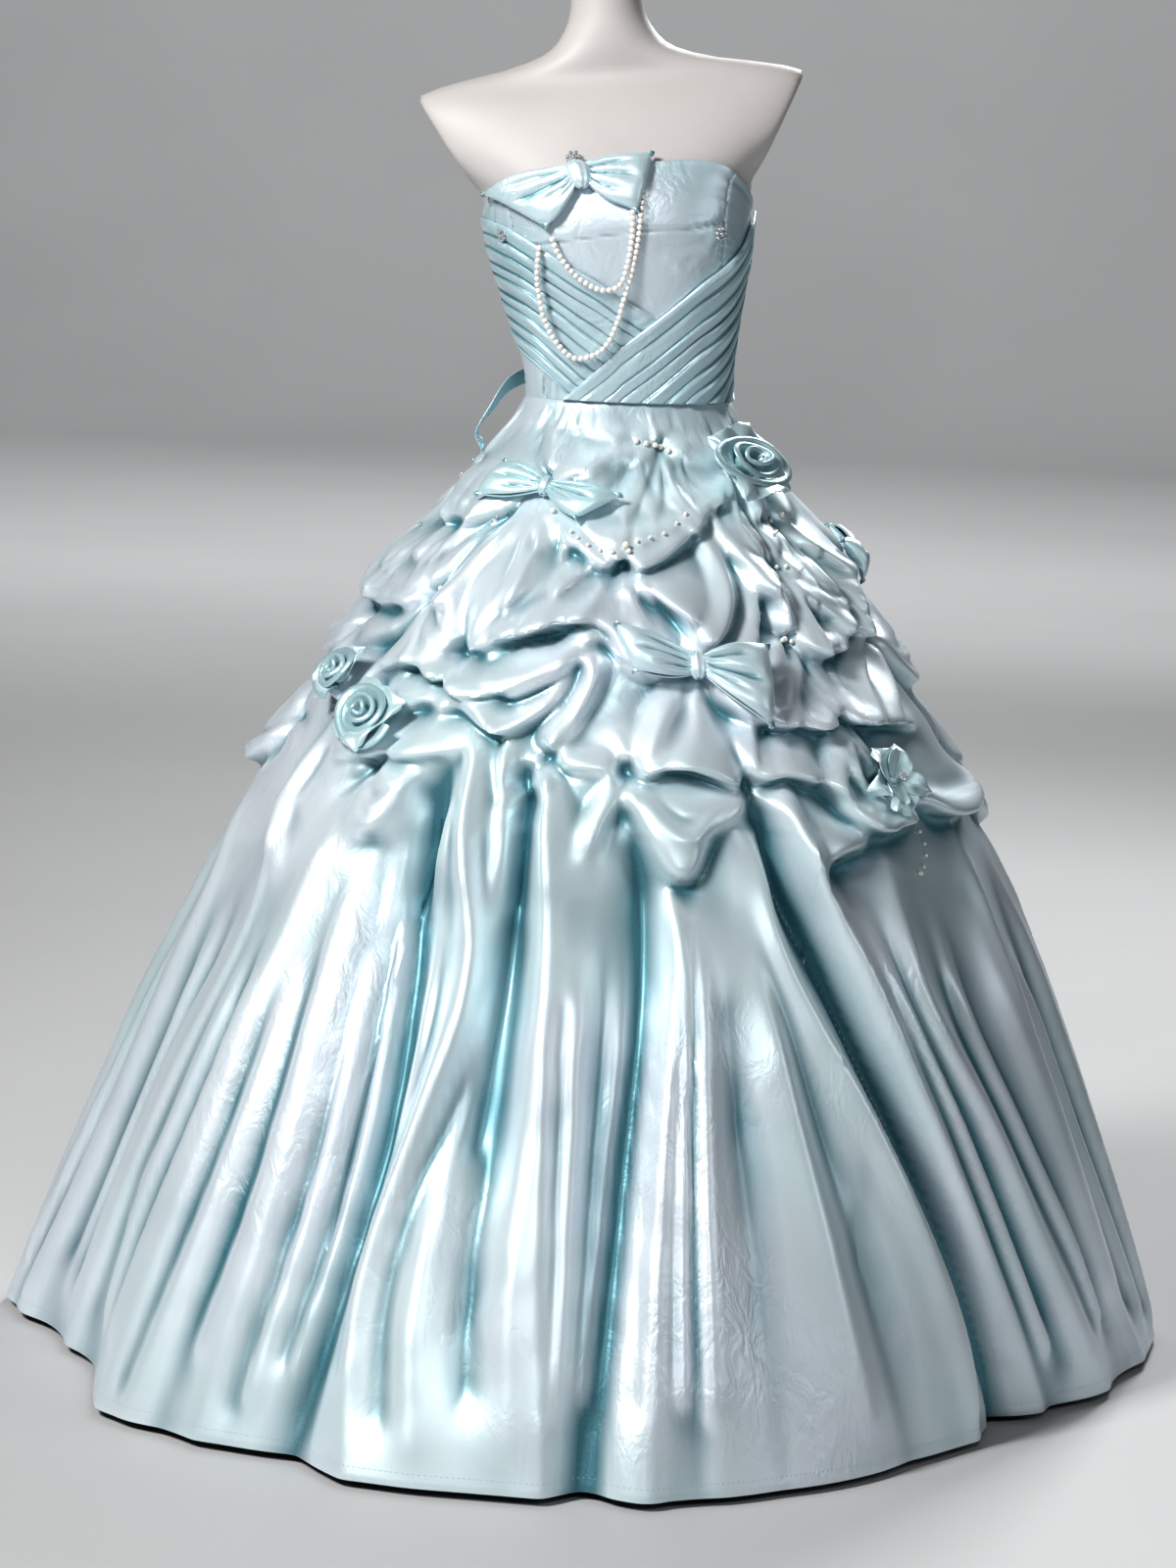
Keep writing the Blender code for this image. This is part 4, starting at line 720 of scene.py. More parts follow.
LEFT_WRAP = Wrap(
    "wrap_pleats_left", "wrap_left", -90,
    (
        (-90, 1.193), (-70, 1.190), (-55, 1.183), (-45, 1.174), (-31, 1.157), (-20, 1.141), (-8, 1.124), (4, 1.101),
        (13, 1.088), (22, 1.075), (30, 1.062),
    ),
    0.0148, 0.0185, 9, (0.0, -1.3, 1.0, -0.6, 1.5, -1.2, 0.9, -0.7, 0.8, 0.0),
    (1.0, 0.8, 1.15, 0.75, 1.2, 0.9, 1.05, 0.8, 1.1, 0.9), (0.300, 0.190),
)
WRAP_COLUMNS = 80
WRAP_SWEEP = 500
PLEAT_STEPS = (0.0, 0.05, 0.12, 0.22, 0.34, 0.47, 0.60, 0.72, 0.81, 0.87, 0.915, 0.95, 0.98)
PLEAT_RELIEF_SIDE = 0.0050
PLEAT_RELIEF_END = 0.0030
PLEAT_POCKET = 0.0022


def pleat_profile(share):
    """How proud the pleat stands, from its folded edge (0) to just behind the next one (1)."""
    rolled = 0.60 + 0.40 * smoothstep(share, 0.0, 0.22)
    falling = rolled * (1 - 0.92 * share**1.1) * (1 - smoothstep(share, 0.80, 0.96))
    return falling + 0.60 * smoothstep(share, 0.91, 1.0)


def wrap_grid(wrap, floor_at):
    """Angles, heights and reliefs of the pleated wrap, one row for each step over each pleat."""
    top = smooth_table(wrap.top_edge)
    far = wrap.top_edge[0][0] if wrap.side_angle > 0 else wrap.top_edge[-1][0]
    sweep = np.linspace(wrap.side_angle, far, WRAP_SWEEP)
    share = np.abs(sweep - wrap.side_angle) / abs(far - wrap.side_angle)
    pitch = wrap.side_pitch + (wrap.end_pitch - wrap.side_pitch) * share
    grids = ([], [], [])
    marks = [pleat + step for pleat in range(wrap.pleats) for step in PLEAT_STEPS] + [float(wrap.pleats)]
    for mark in marks:
        pleat, step = int(mark), mark - int(mark)
        uneven = np.interp(mark, np.arange(len(wrap.uneven)), wrap.uneven)
        strength = np.interp(mark, np.arange(len(wrap.relief)), wrap.relief)
        wander = 0.0016 * np.sin(share * 5.0 + 2.1 * uneven + pleat) * uneven * (0.4 + share)
        line = top(sweep) - mark * pitch + uneven * 0.0011 + wander * smoothstep(mark, 0.0, 1.0)
        line = line - PLEAT_POCKET * math.exp(-(((step - 0.955) / 0.035) ** 2)) * (1 - 0.5 * share)
        below = np.nonzero(line < floor_at(sweep))[0]
        stop = below[0] if len(below) else len(sweep) - 1
        picks = np.linspace(0, stop, WRAP_COLUMNS)
        relief = PLEAT_RELIEF_SIDE + (PLEAT_RELIEF_END - PLEAT_RELIEF_SIDE) * smoothstep(share, 0.15, 0.75)
        relief = relief * (0.30 + 0.70 * smoothstep(share, 0.0, 0.16))
        ripple = np.array([noise.noise((s * 9.0, pleat * 3.7, 1.5 * wrap.side_angle)) for s in share])
        lift = relief * strength * pleat_profile(step) * (1 + 0.35 * ripple)
        if mark == wrap.pleats:
            lift = lift * 0.3
        for grid, values in zip(grids, (sweep, line, lift)):
            grid.append(np.interp(picks, np.arange(len(sweep)), values))
    order = slice(None, None, -1) if wrap.side_angle > 0 else slice(None)
    return [np.array(rows)[:, order] for rows in grids]


# the wraps' light colour is darker than the skirt's: painted shade, as on the bodice
wrap_satin = satin_finish(
    "wrap_satin", light=(0.46, 0.66, 0.705, 1.0), gain=1.15, bloom_amount=0.30, crumples=(30.0, 1.0, 0.0012)
)
right_top = smooth_table(RIGHT_WRAP.top_edge)
wrap_floor = WAIST_HEIGHT + 0.0015


def right_floor(angle):
    return np.full(np.shape(angle), wrap_floor)


def left_floor(angle):
    """The left wrap ends on the right one's top edge where the two cross."""
    return np.where(angle > -35, np.maximum(right_top(angle) + 0.0004, wrap_floor), wrap_floor)


wraps = []
for wrap, floor_at in ((LEFT_WRAP, left_floor), (RIGHT_WRAP, right_floor)):
    angles, heights, relief = wrap_grid(wrap, floor_at)
    base = WRAP_IN + 0.0012
    if wrap is LEFT_WRAP:
        # its free end dives under the right wrap's top fold
        under = smoothstep(heights - right_top(angles), 0.0, 0.012)
        base = WRAP_IN + 0.0006 + 0.0006 * under
        relief = relief * (0.25 + 0.75 * np.where(angles > -40, under, 1.0))
    face = body_point(angles, heights, base + relief)
    back = body_point(angles, heights, WRAP_IN)
    # painted shade: the deep colour fills each pleat's valley and the small hollows
    hollow = np.clip(1.0 - relief / (0.55 * blurred(relief, 9)), 0.0, 1.0)
    hollow = np.maximum(0.9 * hollow**1.2, 0.7 * hollow_of(face, ((3, 0.0018),)))
    piece = cloth_shell(wrap.name, face, 0.0, wrap_satin, hollow, back)
    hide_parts(wrap.node)
    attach(piece, "root")
    wraps.append(piece)

# ---- Skirt ----
# Six full gores of satin, seamed from the waist to the hem. The upper half is cut longer than it hangs and is
# caught up by hand stitches, so it falls in soft swags and puffs; below them long folds run to the hem.
HEM_HEIGHT = 0.009
SKIRT_WALL = 0.0011
GORE_COUNT = 6
SEAM_HALF = 0.00003
GORE_COLUMNS = 108
SKIRT_ROWS = 204
# the grid's rows lie closer above this height
CLOSE_ROWS_FOOT = 0.60
BELL = (
    (1.000, 0.1065), (0.975, 0.121), (0.940, 0.146), (0.900, 0.180), (0.860, 0.213), (0.820, 0.247),
    (0.780, 0.273), (0.740, 0.294), (0.700, 0.318), (0.660, 0.345), (0.620, 0.368), (0.580, 0.382),
    (0.540, 0.397), (0.500, 0.415), (0.450, 0.438), (0.400, 0.461), (0.300, 0.502), (0.200, 0.543),
    (0.100, 0.582), (0.009, 0.613),
)
WAIST_FRONT_SHARE = 0.774
WAIST_BACK_SHARE = 0.812
HEM_PLAN = (
    (-180, 0.612), (-165, 0.585), (-150, 0.606), (-138, 0.588), (-124, 0.614), (-108, 0.592), (-96, 0.622),
    (-90, 0.622), (-81, 0.568), (-67, 0.555), (-52, 0.610), (-39, 0.606), (-28, 0.608), (-17, 0.624),
    (-4, 0.615), (6, 0.618), (18, 0.602), (30, 0.572), (48, 0.527), (60, 0.526), (69, 0.548), (80, 0.566),
    (90, 0.596), (100, 0.604), (113, 0.582), (127, 0.612), (142, 0.590), (158, 0.616), (170, 0.594),
)
# how much fuller than its row each kind of fold stands, and what the hem, the sag and the girth keep of it
DRAPE_FULLNESS = 2.20
LONG_FULLNESS = 2.00
CREASE_FULLNESS = 2.2
HEM_SHARE = 0.60
HANG_SHARE = 0.28
GIRTH_KEPT = 0.75
POUF_LIFT = 0.006
# how the satin is stretched between marked lines: grids from coarse to fine, passes on each with their momentum,
# how firmly a line holds the cloth, and how far each kind of fold reaches into it
GRID_STEPS = (8, 4, 2, 1)
PASSES = 160
MOMENTUM = 0.88
GRIP = 0.9
MARK_STEPS = 60
MARK_SPACING = 0.004
MEMBRANE_REACH = 0.050
FOLD_REACH = 0.042
CREASE_REACH = 0.024
# folds, gathers and puckers that are drawn at random between the placed ones
FOLD_SEED = 11
BETWEEN_FOLDS = 4
BETWEEN_LIFT = 0.0130
SMALL_CREASES = 90
CREASE_SPACING = 0.020
GATHERS = 8
GATHER_LIFT = 0.0130
STITCH_REACH = 0.006
WAIST_PUCKERS = 4.5
PUCKER_TOP = 0.998
PUCKER_MIDDLE = 0.986

# hand stitches that catch the satin up: angle, height and how deep they sink
PickUp = namedtuple("PickUp", "angle height depth")
PICK_UPS = (
    PickUp(-82, 0.929, 0.006), PickUp(-30, 0.921, 0.010), PickUp(13, 0.957, 0.006), PickUp(45, 0.940, 0.008),
    PickUp(-92, 0.865, 0.010), PickUp(-49, 0.806, 0.010), PickUp(0, 0.850, 0.012), PickUp(60, 0.885, 0.010),
    PickUp(46, 0.844, 0.008), PickUp(39, 0.778, 0.012), PickUp(70, 0.774, 0.012), PickUp(-34, 0.753, 0.018),
    PickUp(15, 0.752, 0.016), PickUp(92, 0.836, 0.012), PickUp(-50, 0.690, 0.014), PickUp(-11, 0.668, 0.018),
    PickUp(2, 0.657, 0.018), PickUp(22, 0.646, 0.018), PickUp(44, 0.706, 0.014), PickUp(50, 0.636, 0.016),
    PickUp(-43, 0.639, 0.012), PickUp(-80, 0.660, 0.014), PickUp(84, 0.640, 0.016), PickUp(-72, 0.770, 0.012),
    PickUp(122, 0.925, 0.008), PickUp(165, 0.935, 0.008), PickUp(-150, 0.928, 0.008), PickUp(-118, 0.920, 0.008),
    PickUp(112, 0.800, 0.014), PickUp(145, 0.830, 0.014), PickUp(180, 0.800, 0.014), PickUp(-148, 0.820, 0.014),
    PickUp(-118, 0.790, 0.014), PickUp(110, 0.655, 0.016), PickUp(134, 0.675, 0.016), PickUp(160, 0.650, 0.016),
    PickUp(-174, 0.670, 0.016), PickUp(-150, 0.648, 0.016), PickUp(-126, 0.672, 0.016), PickUp(-102, 0.650, 0.016),
)

# a hanging lip: its path, how proud it stands, and how far its flanks reach to the left and right of the path
Lip = namedtuple("Lip", "path proud left right")
DRAPE_LIPS = (
    Lip(((-28, 0.922), (-17, 0.936), (-5, 0.950), (11, 0.958)), 0.010, 0.022, 0.010),
    Lip(((15, 0.957), (25, 0.950), (42, 0.942)), 0.009, 0.020, 0.010),
    Lip(
        ((-28, 0.912), (-15, 0.875), (-6, 0.858), (2, 0.855), (12, 0.868), (30, 0.912), (40, 0.930)),
        0.016, 0.034, 0.012,
    ),
    Lip(((27, 0.905), (33, 0.862), (38, 0.820), (39, 0.785)), 0.014, 0.020, 0.012),
    Lip(((2, 0.842), (8, 0.830), (15, 0.812), (18, 0.790), (16, 0.762)), 0.016, 0.022, 0.018),
    Lip(((-49, 0.803), (-42, 0.818), (-38, 0.863), (-32, 0.910)), 0.010, 0.016, 0.018),
    Lip(((-34, 0.758), (-31, 0.800), (-29, 0.846), (-28, 0.905)), 0.012, 0.014, 0.016),
    Lip(((-32, 0.768), (-22, 0.783), (-12, 0.800), (-4, 0.799), (0, 0.775), (8, 0.750)), 0.017, 0.024, 0.013),
    Lip(((-56, 0.716), (-47, 0.750), (-37, 0.742), (-24, 0.730), (-13, 0.752), (-6, 0.792)), 0.018, 0.026, 0.013),
    Lip(((-44, 0.708), (-30, 0.712), (-20, 0.696), (-12, 0.728), (-7, 0.775)), 0.016, 0.020, 0.012),
    Lip(((-47, 0.790), (-51, 0.752), (-57, 0.715)), 0.012, 0.018, 0.014),
    Lip(((-11, 0.672), (-8, 0.708), (-5, 0.750), (-6, 0.785)), 0.014, 0.022, 0.014),
    Lip(((-11, 0.668), (-5, 0.664), (1, 0.660)), 0.008, 0.018, 0.010),
    Lip(((3, 0.660), (9, 0.676), (15, 0.668), (21, 0.650)), 0.014, 0.018, 0.012),
    Lip(((23, 0.648), (28, 0.664), (34, 0.654), (42, 0.640)), 0.014, 0.018, 0.012),
    Lip(((3, 0.650), (6, 0.605), (10, 0.570), (14, 0.608), (21, 0.640)), 0.012, 0.022, 0.016),
    Lip(((25, 0.704), (33, 0.706), (43, 0.709), (57, 0.703), (68, 0.690)), 0.017, 0.020, 0.012),
    Lip(((43, 0.704), (42, 0.680), (38, 0.645), (44, 0.606), (52, 0.608), (58, 0.630)), 0.018, 0.018, 0.014),
    Lip(((31, 0.566), (36, 0.585), (44, 0.594)), 0.012, 0.016, 0.012),
    Lip(((17, 0.742), (24, 0.722), (32, 0.715), (39, 0.760)), 0.014, 0.022, 0.012),
    Lip(((47, 0.838), (55, 0.800), (66, 0.790), (72, 0.830), (90, 0.840)), 0.015, 0.022, 0.014),
    Lip(((39, 0.776), (48, 0.770), (58, 0.786), (62, 0.820)), 0.014, 0.018, 0.012),
    Lip(((62, 0.880), (70, 0.850), (80, 0.845), (91, 0.842)), 0.013, 0.020, 0.012),
    Lip(((70, 0.770), (80, 0.735), (90, 0.728), (104, 0.760), (112, 0.796)), 0.013, 0.026, 0.014),
    Lip(((52, 0.645), (62, 0.612), (74, 0.612), (84, 0.636)), 0.016, 0.024, 0.014),
    Lip(((-53, 0.650), (-44, 0.659), (-35, 0.664), (-27, 0.667)), 0.014, 0.016, 0.010),
    Lip(((-43, 0.634), (-39, 0.592), (-36, 0.612), (-33, 0.650)), 0.014, 0.016, 0.014),
    Lip(((-80, 0.925), (-70, 0.893), (-56, 0.884), (-42, 0.896), (-31, 0.916)), 0.012, 0.024, 0.012),
    Lip(((-92, 0.860), (-82, 0.815), (-68, 0.798), (-56, 0.800), (-50, 0.806)), 0.015, 0.024, 0.014),
    Lip(((-72, 0.766), (-68, 0.730), (-62, 0.712), (-54, 0.700)), 0.014, 0.020, 0.014),
    Lip(((-118, 0.786), (-106, 0.742), (-92, 0.732), (-78, 0.750), (-72, 0.768)), 0.013, 0.026, 0.014),
    Lip(((-102, 0.646), (-94, 0.612), (-86, 0.622), (-80, 0.656)), 0.016, 0.024, 0.014),
)
Fold = namedtuple("Fold", "path proud")
# finer creases that the pulled satin shows between the main folds
DRAPE_CREASES = (
    Fold(((-38, 0.998), (-28, 0.992), (-16, 0.985), (0, 0.972), (8, 0.962)), 0.005),
    Fold(((-33, 0.998), (-31, 0.985), (-33, 0.972), (-30, 0.962)), 0.004),
    Fold(((-24, 0.998), (-24, 0.984), (-20, 0.970)), 0.003),
    Fold(((22, 0.994), (18, 0.980), (14, 0.966)), 0.003),
    Fold(((8, 0.990), (10, 0.976), (12, 0.966)), 0.003),
    Fold(((13, 0.950), (15, 0.930), (21, 0.905), (27, 0.885)), 0.008),
    Fold(((11, 0.950), (7, 0.930), (3, 0.905)), 0.007),
    Fold(((13, 0.948), (13, 0.925), (12, 0.895)), -0.008),
    Fold(((-28, 0.900), (-24, 0.870), (-24, 0.830), (-26, 0.790)), 0.008),
    Fold(((-34, 0.900), (-36, 0.870), (-42, 0.845)), 0.007),
    Fold(((1, 0.838), (4, 0.810), (10, 0.780), (14, 0.760)), 0.010),
    Fold(((-2, 0.838), (-8, 0.815), (-20, 0.790), (-30, 0.764)), 0.009),
    Fold(((24, 0.880), (26, 0.850), (24, 0.815), (18, 0.775)), 0.009),
    Fold(((34, 0.840), (32, 0.800), (24, 0.765), (18, 0.754)), 0.008),
    Fold(((-34, 0.745), (-26, 0.715), (-20, 0.690)), 0.009),
    Fold(((-35, 0.740), (-40, 0.720), (-46, 0.700)), 0.008),
    Fold(((-31, 0.755), (-20, 0.760), (-10, 0.775)), 0.007),
    Fold(((44, 0.698), (48, 0.672), (50, 0.650)), 0.008),
    Fold(((58, 0.880), (50, 0.862), (47, 0.850)), 0.007),
    Fold(((62, 0.875), (60, 0.840), (64, 0.810), (69, 0.782)), 0.009),
    Fold(((70, 0.765), (66, 0.735), (58, 0.712)), 0.009),
    Fold(((-50, 0.798), (-56, 0.770), (-66, 0.762)), 0.008),
    Fold(((-88, 0.858), (-76, 0.845), (-62, 0.850), (-50, 0.862)), 0.009),
    Fold(((-11, 0.660), (-14, 0.640), (-17, 0.600)), 0.007),
    Fold(((2, 0.650), (-2, 0.620), (-4, 0.580)), 0.007),
    Fold(((41, 0.838), (33, 0.783), (31, 0.742)), -0.009),
    Fold(((28, 0.655), (28, 0.623), (30, 0.585), (34, 0.525)), 0.008),
    Fold(((-29, 0.693), (-25, 0.681), (-23, 0.655), (-22, 0.592), (-19, 0.499)), 0.008),
    Fold(((-19, 0.683), (-19, 0.657), (-16, 0.584), (-15, 0.509)), 0.008),
    Fold(((-29, 0.661), (-29, 0.613), (-30, 0.557), (-30, 0.491)), -0.010),
    Fold(((-17, 0.672), (-14, 0.634), (-14, 0.596), (-14, 0.514)), -0.009),
    Fold(((-58, 0.670), (-60, 0.638), (-60, 0.595), (-54, 0.529)), 0.007),
    Fold(((52, 0.862), (47, 0.827), (46, 0.790), (46, 0.743), (44, 0.716)), 0.008),
    Fold(((82, 0.816), (68, 0.783), (57, 0.748), (50, 0.718)), 0.009),
    Fold(((-77, 0.855), (-72, 0.821), (-69, 0.792)), 0.007),
    Fold(((-38, 0.765), (-42, 0.800), (-41, 0.845), (-35, 0.895)), 0.008),
    Fold(((-30, 0.762), (-20, 0.800), (-12, 0.835), (-4, 0.850)), 0.008),
    Fold(((-22, 0.890), (-16, 0.850), (-14, 0.810)), 0.007),
    Fold(((-45, 0.930), (-50, 0.890), (-56, 0.850), (-52, 0.812)), 0.007),
    Fold(((-70, 0.915), (-66, 0.875), (-60, 0.835), (-52, 0.810)), 0.007),
    Fold(((-10, 0.940), (-12, 0.905), (-6, 0.870)), 0.006),
    Fold(((44, 0.930), (38, 0.890), (41, 0.850)), 0.007),
    Fold(((14, 0.745), (8, 0.715), (4, 0.670)), 0.008),
    Fold(((17, 0.745), (24, 0.715), (23, 0.665)), 0.008),
    Fold(((-48, 0.795), (-42, 0.775), (-36, 0.760)), 0.007),
)
# rows of swags round the back: the spots they hang from, how far each one drops and how proud its lip stands
SwagRow = namedtuple("SwagRow", "spots drops prouds")
SWAG_ROWS = (
    SwagRow(
        ((92, 0.842), (122, 0.922), (165, 0.932), (210, 0.925), (242, 0.917), (268, 0.866)),
        (0.030, 0.062, 0.064, 0.050, 0.034), (0.012, 0.016, 0.016, 0.015, 0.013),
    ),
    SwagRow(
        ((112, 0.798), (145, 0.828), (180, 0.798), (212, 0.818), (242, 0.788)),
        (0.066, 0.066, 0.064, 0.062), (0.015, 0.015, 0.015, 0.015),
    ),
    SwagRow(
        (
            (84, 0.638), (110, 0.652), (134, 0.672), (160, 0.648), (186, 0.668), (210, 0.646), (234, 0.670),
            (258, 0.648),
        ),
        (0.055, 0.060, 0.062, 0.060, 0.062, 0.058, 0.060), (0.014, 0.015, 0.015, 0.015, 0.015, 0.015, 0.015),
    ),
)
SWAG_FLANK_ABOVE = 0.036
SWAG_FLANK_BELOW = 0.024
# folds nested inside a hanging one: how far down to it, and their lift as a share of its own
NESTED_FOLDS = ((0.80, -0.45), (0.58, 0.85), (0.38, -0.40), (0.20, 0.65))
NESTED_LEAST = 0.007
ROUND_EDGE = 0.004
TENSION_LEAST = 0.05
TENSION_MOST = 0.17
TENSION_LIFT = 0.008
HIDDEN_SIDE_SHARE = 2.0
HIDDEN_FROM = 75
LONG_FOLDS = (
    Fold(((-80, 0.630), (-77, 0.490), (-80, 0.300), (-86, 0.009)), 0.014),
    Fold(((-60, 0.650), (-57, 0.480), (-63, 0.290), (-74, 0.009)), 0.016),
    Fold(((-44, 0.620), (-47, 0.500), (-48, 0.310), (-52, 0.009)), 0.016),
    Fold(((-38, 0.580), (-36, 0.330), (-39, 0.009)), 0.013),
    Fold(((-34, 0.650), (-31, 0.580), (-26, 0.300), (-29, 0.009)), -0.015),
    Fold(((-24, 0.670), (-21, 0.590), (-18, 0.440), (-24, 0.200), (-22, 0.009)), 0.014),
    Fold(((-16, 0.660), (-14, 0.600), (-14, 0.480), (-15, 0.300)), -0.014),
    Fold(((-11, 0.655), (-9, 0.550), (-7, 0.370), (-4, 0.009)), 0.014),
    Fold(((3, 0.620), (5, 0.500), (2, 0.260), (-1, 0.009)), -0.012),
    Fold(((8, 0.560), (9, 0.480), (7, 0.300), (6, 0.009)), 0.013),
    Fold(((13, 0.560), (12, 0.340), (12, 0.009)), 0.007),
    Fold(((23, 0.640), (25, 0.560), (33, 0.430), (43, 0.250), (54, 0.009)), -0.018),
    Fold(((23, 0.600), (24, 0.500), (34, 0.330), (44, 0.130), (46, 0.009)), 0.012),
    Fold(((29, 0.655), (31, 0.560), (38, 0.440), (45, 0.300), (60, 0.009)), 0.016),
    Fold(((46, 0.580), (46, 0.440), (56, 0.300), (72, 0.009)), 0.015),
    Fold(((66, 0.600), (70, 0.400), (84, 0.009)), 0.015),
    Fold(((88, 0.610), (92, 0.350), (98, 0.009)), 0.015),
    Fold(((108, 0.620), (110, 0.350), (112, 0.009)), 0.015),
    Fold(((122, 0.600), (124, 0.350), (127, 0.009)), 0.015),
    Fold(((136, 0.630), (137, 0.350), (140, 0.009)), 0.015),
    Fold(((150, 0.600), (152, 0.350), (155, 0.009)), 0.016),
    Fold(((163, 0.620), (165, 0.350), (169, 0.009)), 0.015),
    Fold(((178, 0.600), (180, 0.350), (184, 0.009)), 0.016),
    Fold(((192, 0.630), (195, 0.350), (198, 0.009)), 0.015),
    Fold(((207, 0.600), (209, 0.350), (211, 0.009)), 0.016),
    Fold(((222, 0.620), (223, 0.350), (225, 0.009)), 0.015),
    Fold(((237, 0.600), (238, 0.350), (239, 0.009)), 0.016),
    Fold(((252, 0.610), (253, 0.350), (254, 0.009)), 0.015),
    Fold(((266, 0.590), (266, 0.350), (266, 0.009)), 0.014),
)
# narrow, crisp creases of the lower skirt
LONG_CREASES = (
    Fold(((-3, 0.500), (-5, 0.460), (-2, 0.430), (-5, 0.390), (-3, 0.350)), 0.0040),
    Fold(((-6, 0.440), (-8, 0.400), (-6, 0.370), (-9, 0.330)), 0.0034),
    Fold(((-10, 0.240), (-8, 0.200), (-11, 0.165), (-8, 0.130)), 0.0036),
    Fold(((-13, 0.210), (-12, 0.170), (-14, 0.140)), -0.0030),
    Fold(((-64, 0.260), (-62, 0.220), (-65, 0.185), (-62, 0.150)), 0.0038),
    Fold(((-60, 0.180), (-58, 0.150), (-60, 0.120)), -0.0030),
    Fold(((20, 0.460), (22, 0.410), (19, 0.370), (23, 0.320)), 0.0030),
    Fold(((27, 0.300), (29, 0.250), (27, 0.210)), 0.0030),
    Fold(((6, 0.500), (5, 0.400), (4, 0.300), (3, 0.150), (3, 0.009)), 0.0034),
    Fold(((-35, 0.500), (-34, 0.380), (-35, 0.260)), 0.0040),
    Fold(((-52, 0.520), (-54, 0.400), (-57, 0.260)), -0.0040),
    Fold(((-40, 0.300), (-42, 0.180), (-44, 0.060)), -0.0040),
    Fold(((-19, 0.300), (-20, 0.200), (-17, 0.090)), 0.0040),
    Fold(((36, 0.520), (44, 0.400), (50, 0.280)), 0.0040),
    Fold(((52, 0.460), (60, 0.330), (68, 0.200)), -0.0040),
    Fold(((16, 0.250), (18, 0.150), (16, 0.060)), 0.0030),
)

bell_radius = smooth_table(BELL)
hem_radius = smooth_table(HEM_PLAN + ((HEM_PLAN[0][0] + 360, HEM_PLAN[0][1]),))


def wrapped(angle):
    return (np.asarray(angle, float) + 180.0) % 360.0 - 180.0


def swag_lips():
    """The lips of the back's swags, each along an uneven hanging curve between two spots."""
    share = np.linspace(0.0, 1.0, 7)
    lips = []
    for row in SWAG_ROWS:
        for start, end, drop, proud in zip(row.spots, row.spots[1:], row.drops, row.prouds):
            number = len(lips)
            reach = share ** (1 + 0.42 * math.sin(1.7 * number))
            angle = start[0] + (end[0] - start[0]) * share
            level = start[1] + (end[1] - start[1]) * share
            hanging = drop * (0.9 + 0.45 * math.sin(2.9 * number + 1.0))
            path = tuple(zip(angle, level - 4 * hanging * reach * (1 - reach)))
            standing = proud * (0.78 + 0.22 * math.sin(4.3 * number))
            lips.append(Lip(path, standing, SWAG_FLANK_ABOVE, SWAG_FLANK_BELOW))
    return tuple(lips)


def nested_folds(lip, number):
    """Smaller folds inside a hanging lip, between its curve and the straight line that joins its ends."""
    path = np.array(lip.path)
    share = np.linspace(0.0, 1.0, len(path))[:, None]
    sag = path - (path[0] + (path[-1] - path[0]) * share)
    deepest = np.max(np.hypot(np.radians(sag[:, 0]) * bell_radius(path[:, 1]), sag[:, 1]))
    for depth, strength in NESTED_FOLDS:
        if depth * deepest < NESTED_LEAST or (1 - depth) * deepest < NESTED_LEAST:
            continue
        uneven = depth + 0.07 * math.sin(2.1 * number + 9.0 * depth)
        yield Fold(path - sag * (1 - uneven), lip.proud * strength)


def tension_folds(random):
    """Folds pulled between the pick-ups of one row and the next: a bowed ridge with a valley beside it."""
    for number, first in enumerate(PICK_UPS):
        for second in PICK_UPS[number + 1:]:
            turn = (second.angle - first.angle + 180) % 360 - 180
            drop = second.height - first.height
            across = math.radians(turn) * float(bell_radius((first.height + second.height) / 2))
            if not TENSION_LEAST < math.hypot(across, drop) < TENSION_MOST or abs(drop) < 0.7 * abs(across):
                continue
            bow = random.uniform(0.10, 0.22) * random.choice((1, -1))
            hidden = min(abs(wrapped(first.angle)), abs(wrapped(second.angle))) > HIDDEN_FROM
            pull = TENSION_LIFT * (HIDDEN_SIDE_SHARE if hidden else 1.0)
            for side, lift in ((1.0, pull), (0.35, -0.8 * pull), (-0.5, 0.7 * pull)):
                path = []
                for share in (0.08, 0.3, 0.5, 0.7, 0.92):
                    aside = bow * side * math.sin(math.pi * share)
                    level = first.height + drop * share
                    back = math.degrees(aside * drop / float(bell_radius(level)))
                    path.append((first.angle + turn * share - back, level + aside * across))
                yield path, lift * random.uniform(0.7, 1.2)


def arch(share, power=1.0):
    """0 at both ends of a path and 1 in its middle."""
    return np.sin(math.pi * share) ** power


def empty_marks():
    """Two grids over the skirt: the weighted sum of the marked values, and the sum of their weights."""
    shape = (len(skirt_heights), skirt_columns)
    return np.zeros(shape), np.zeros(shape)


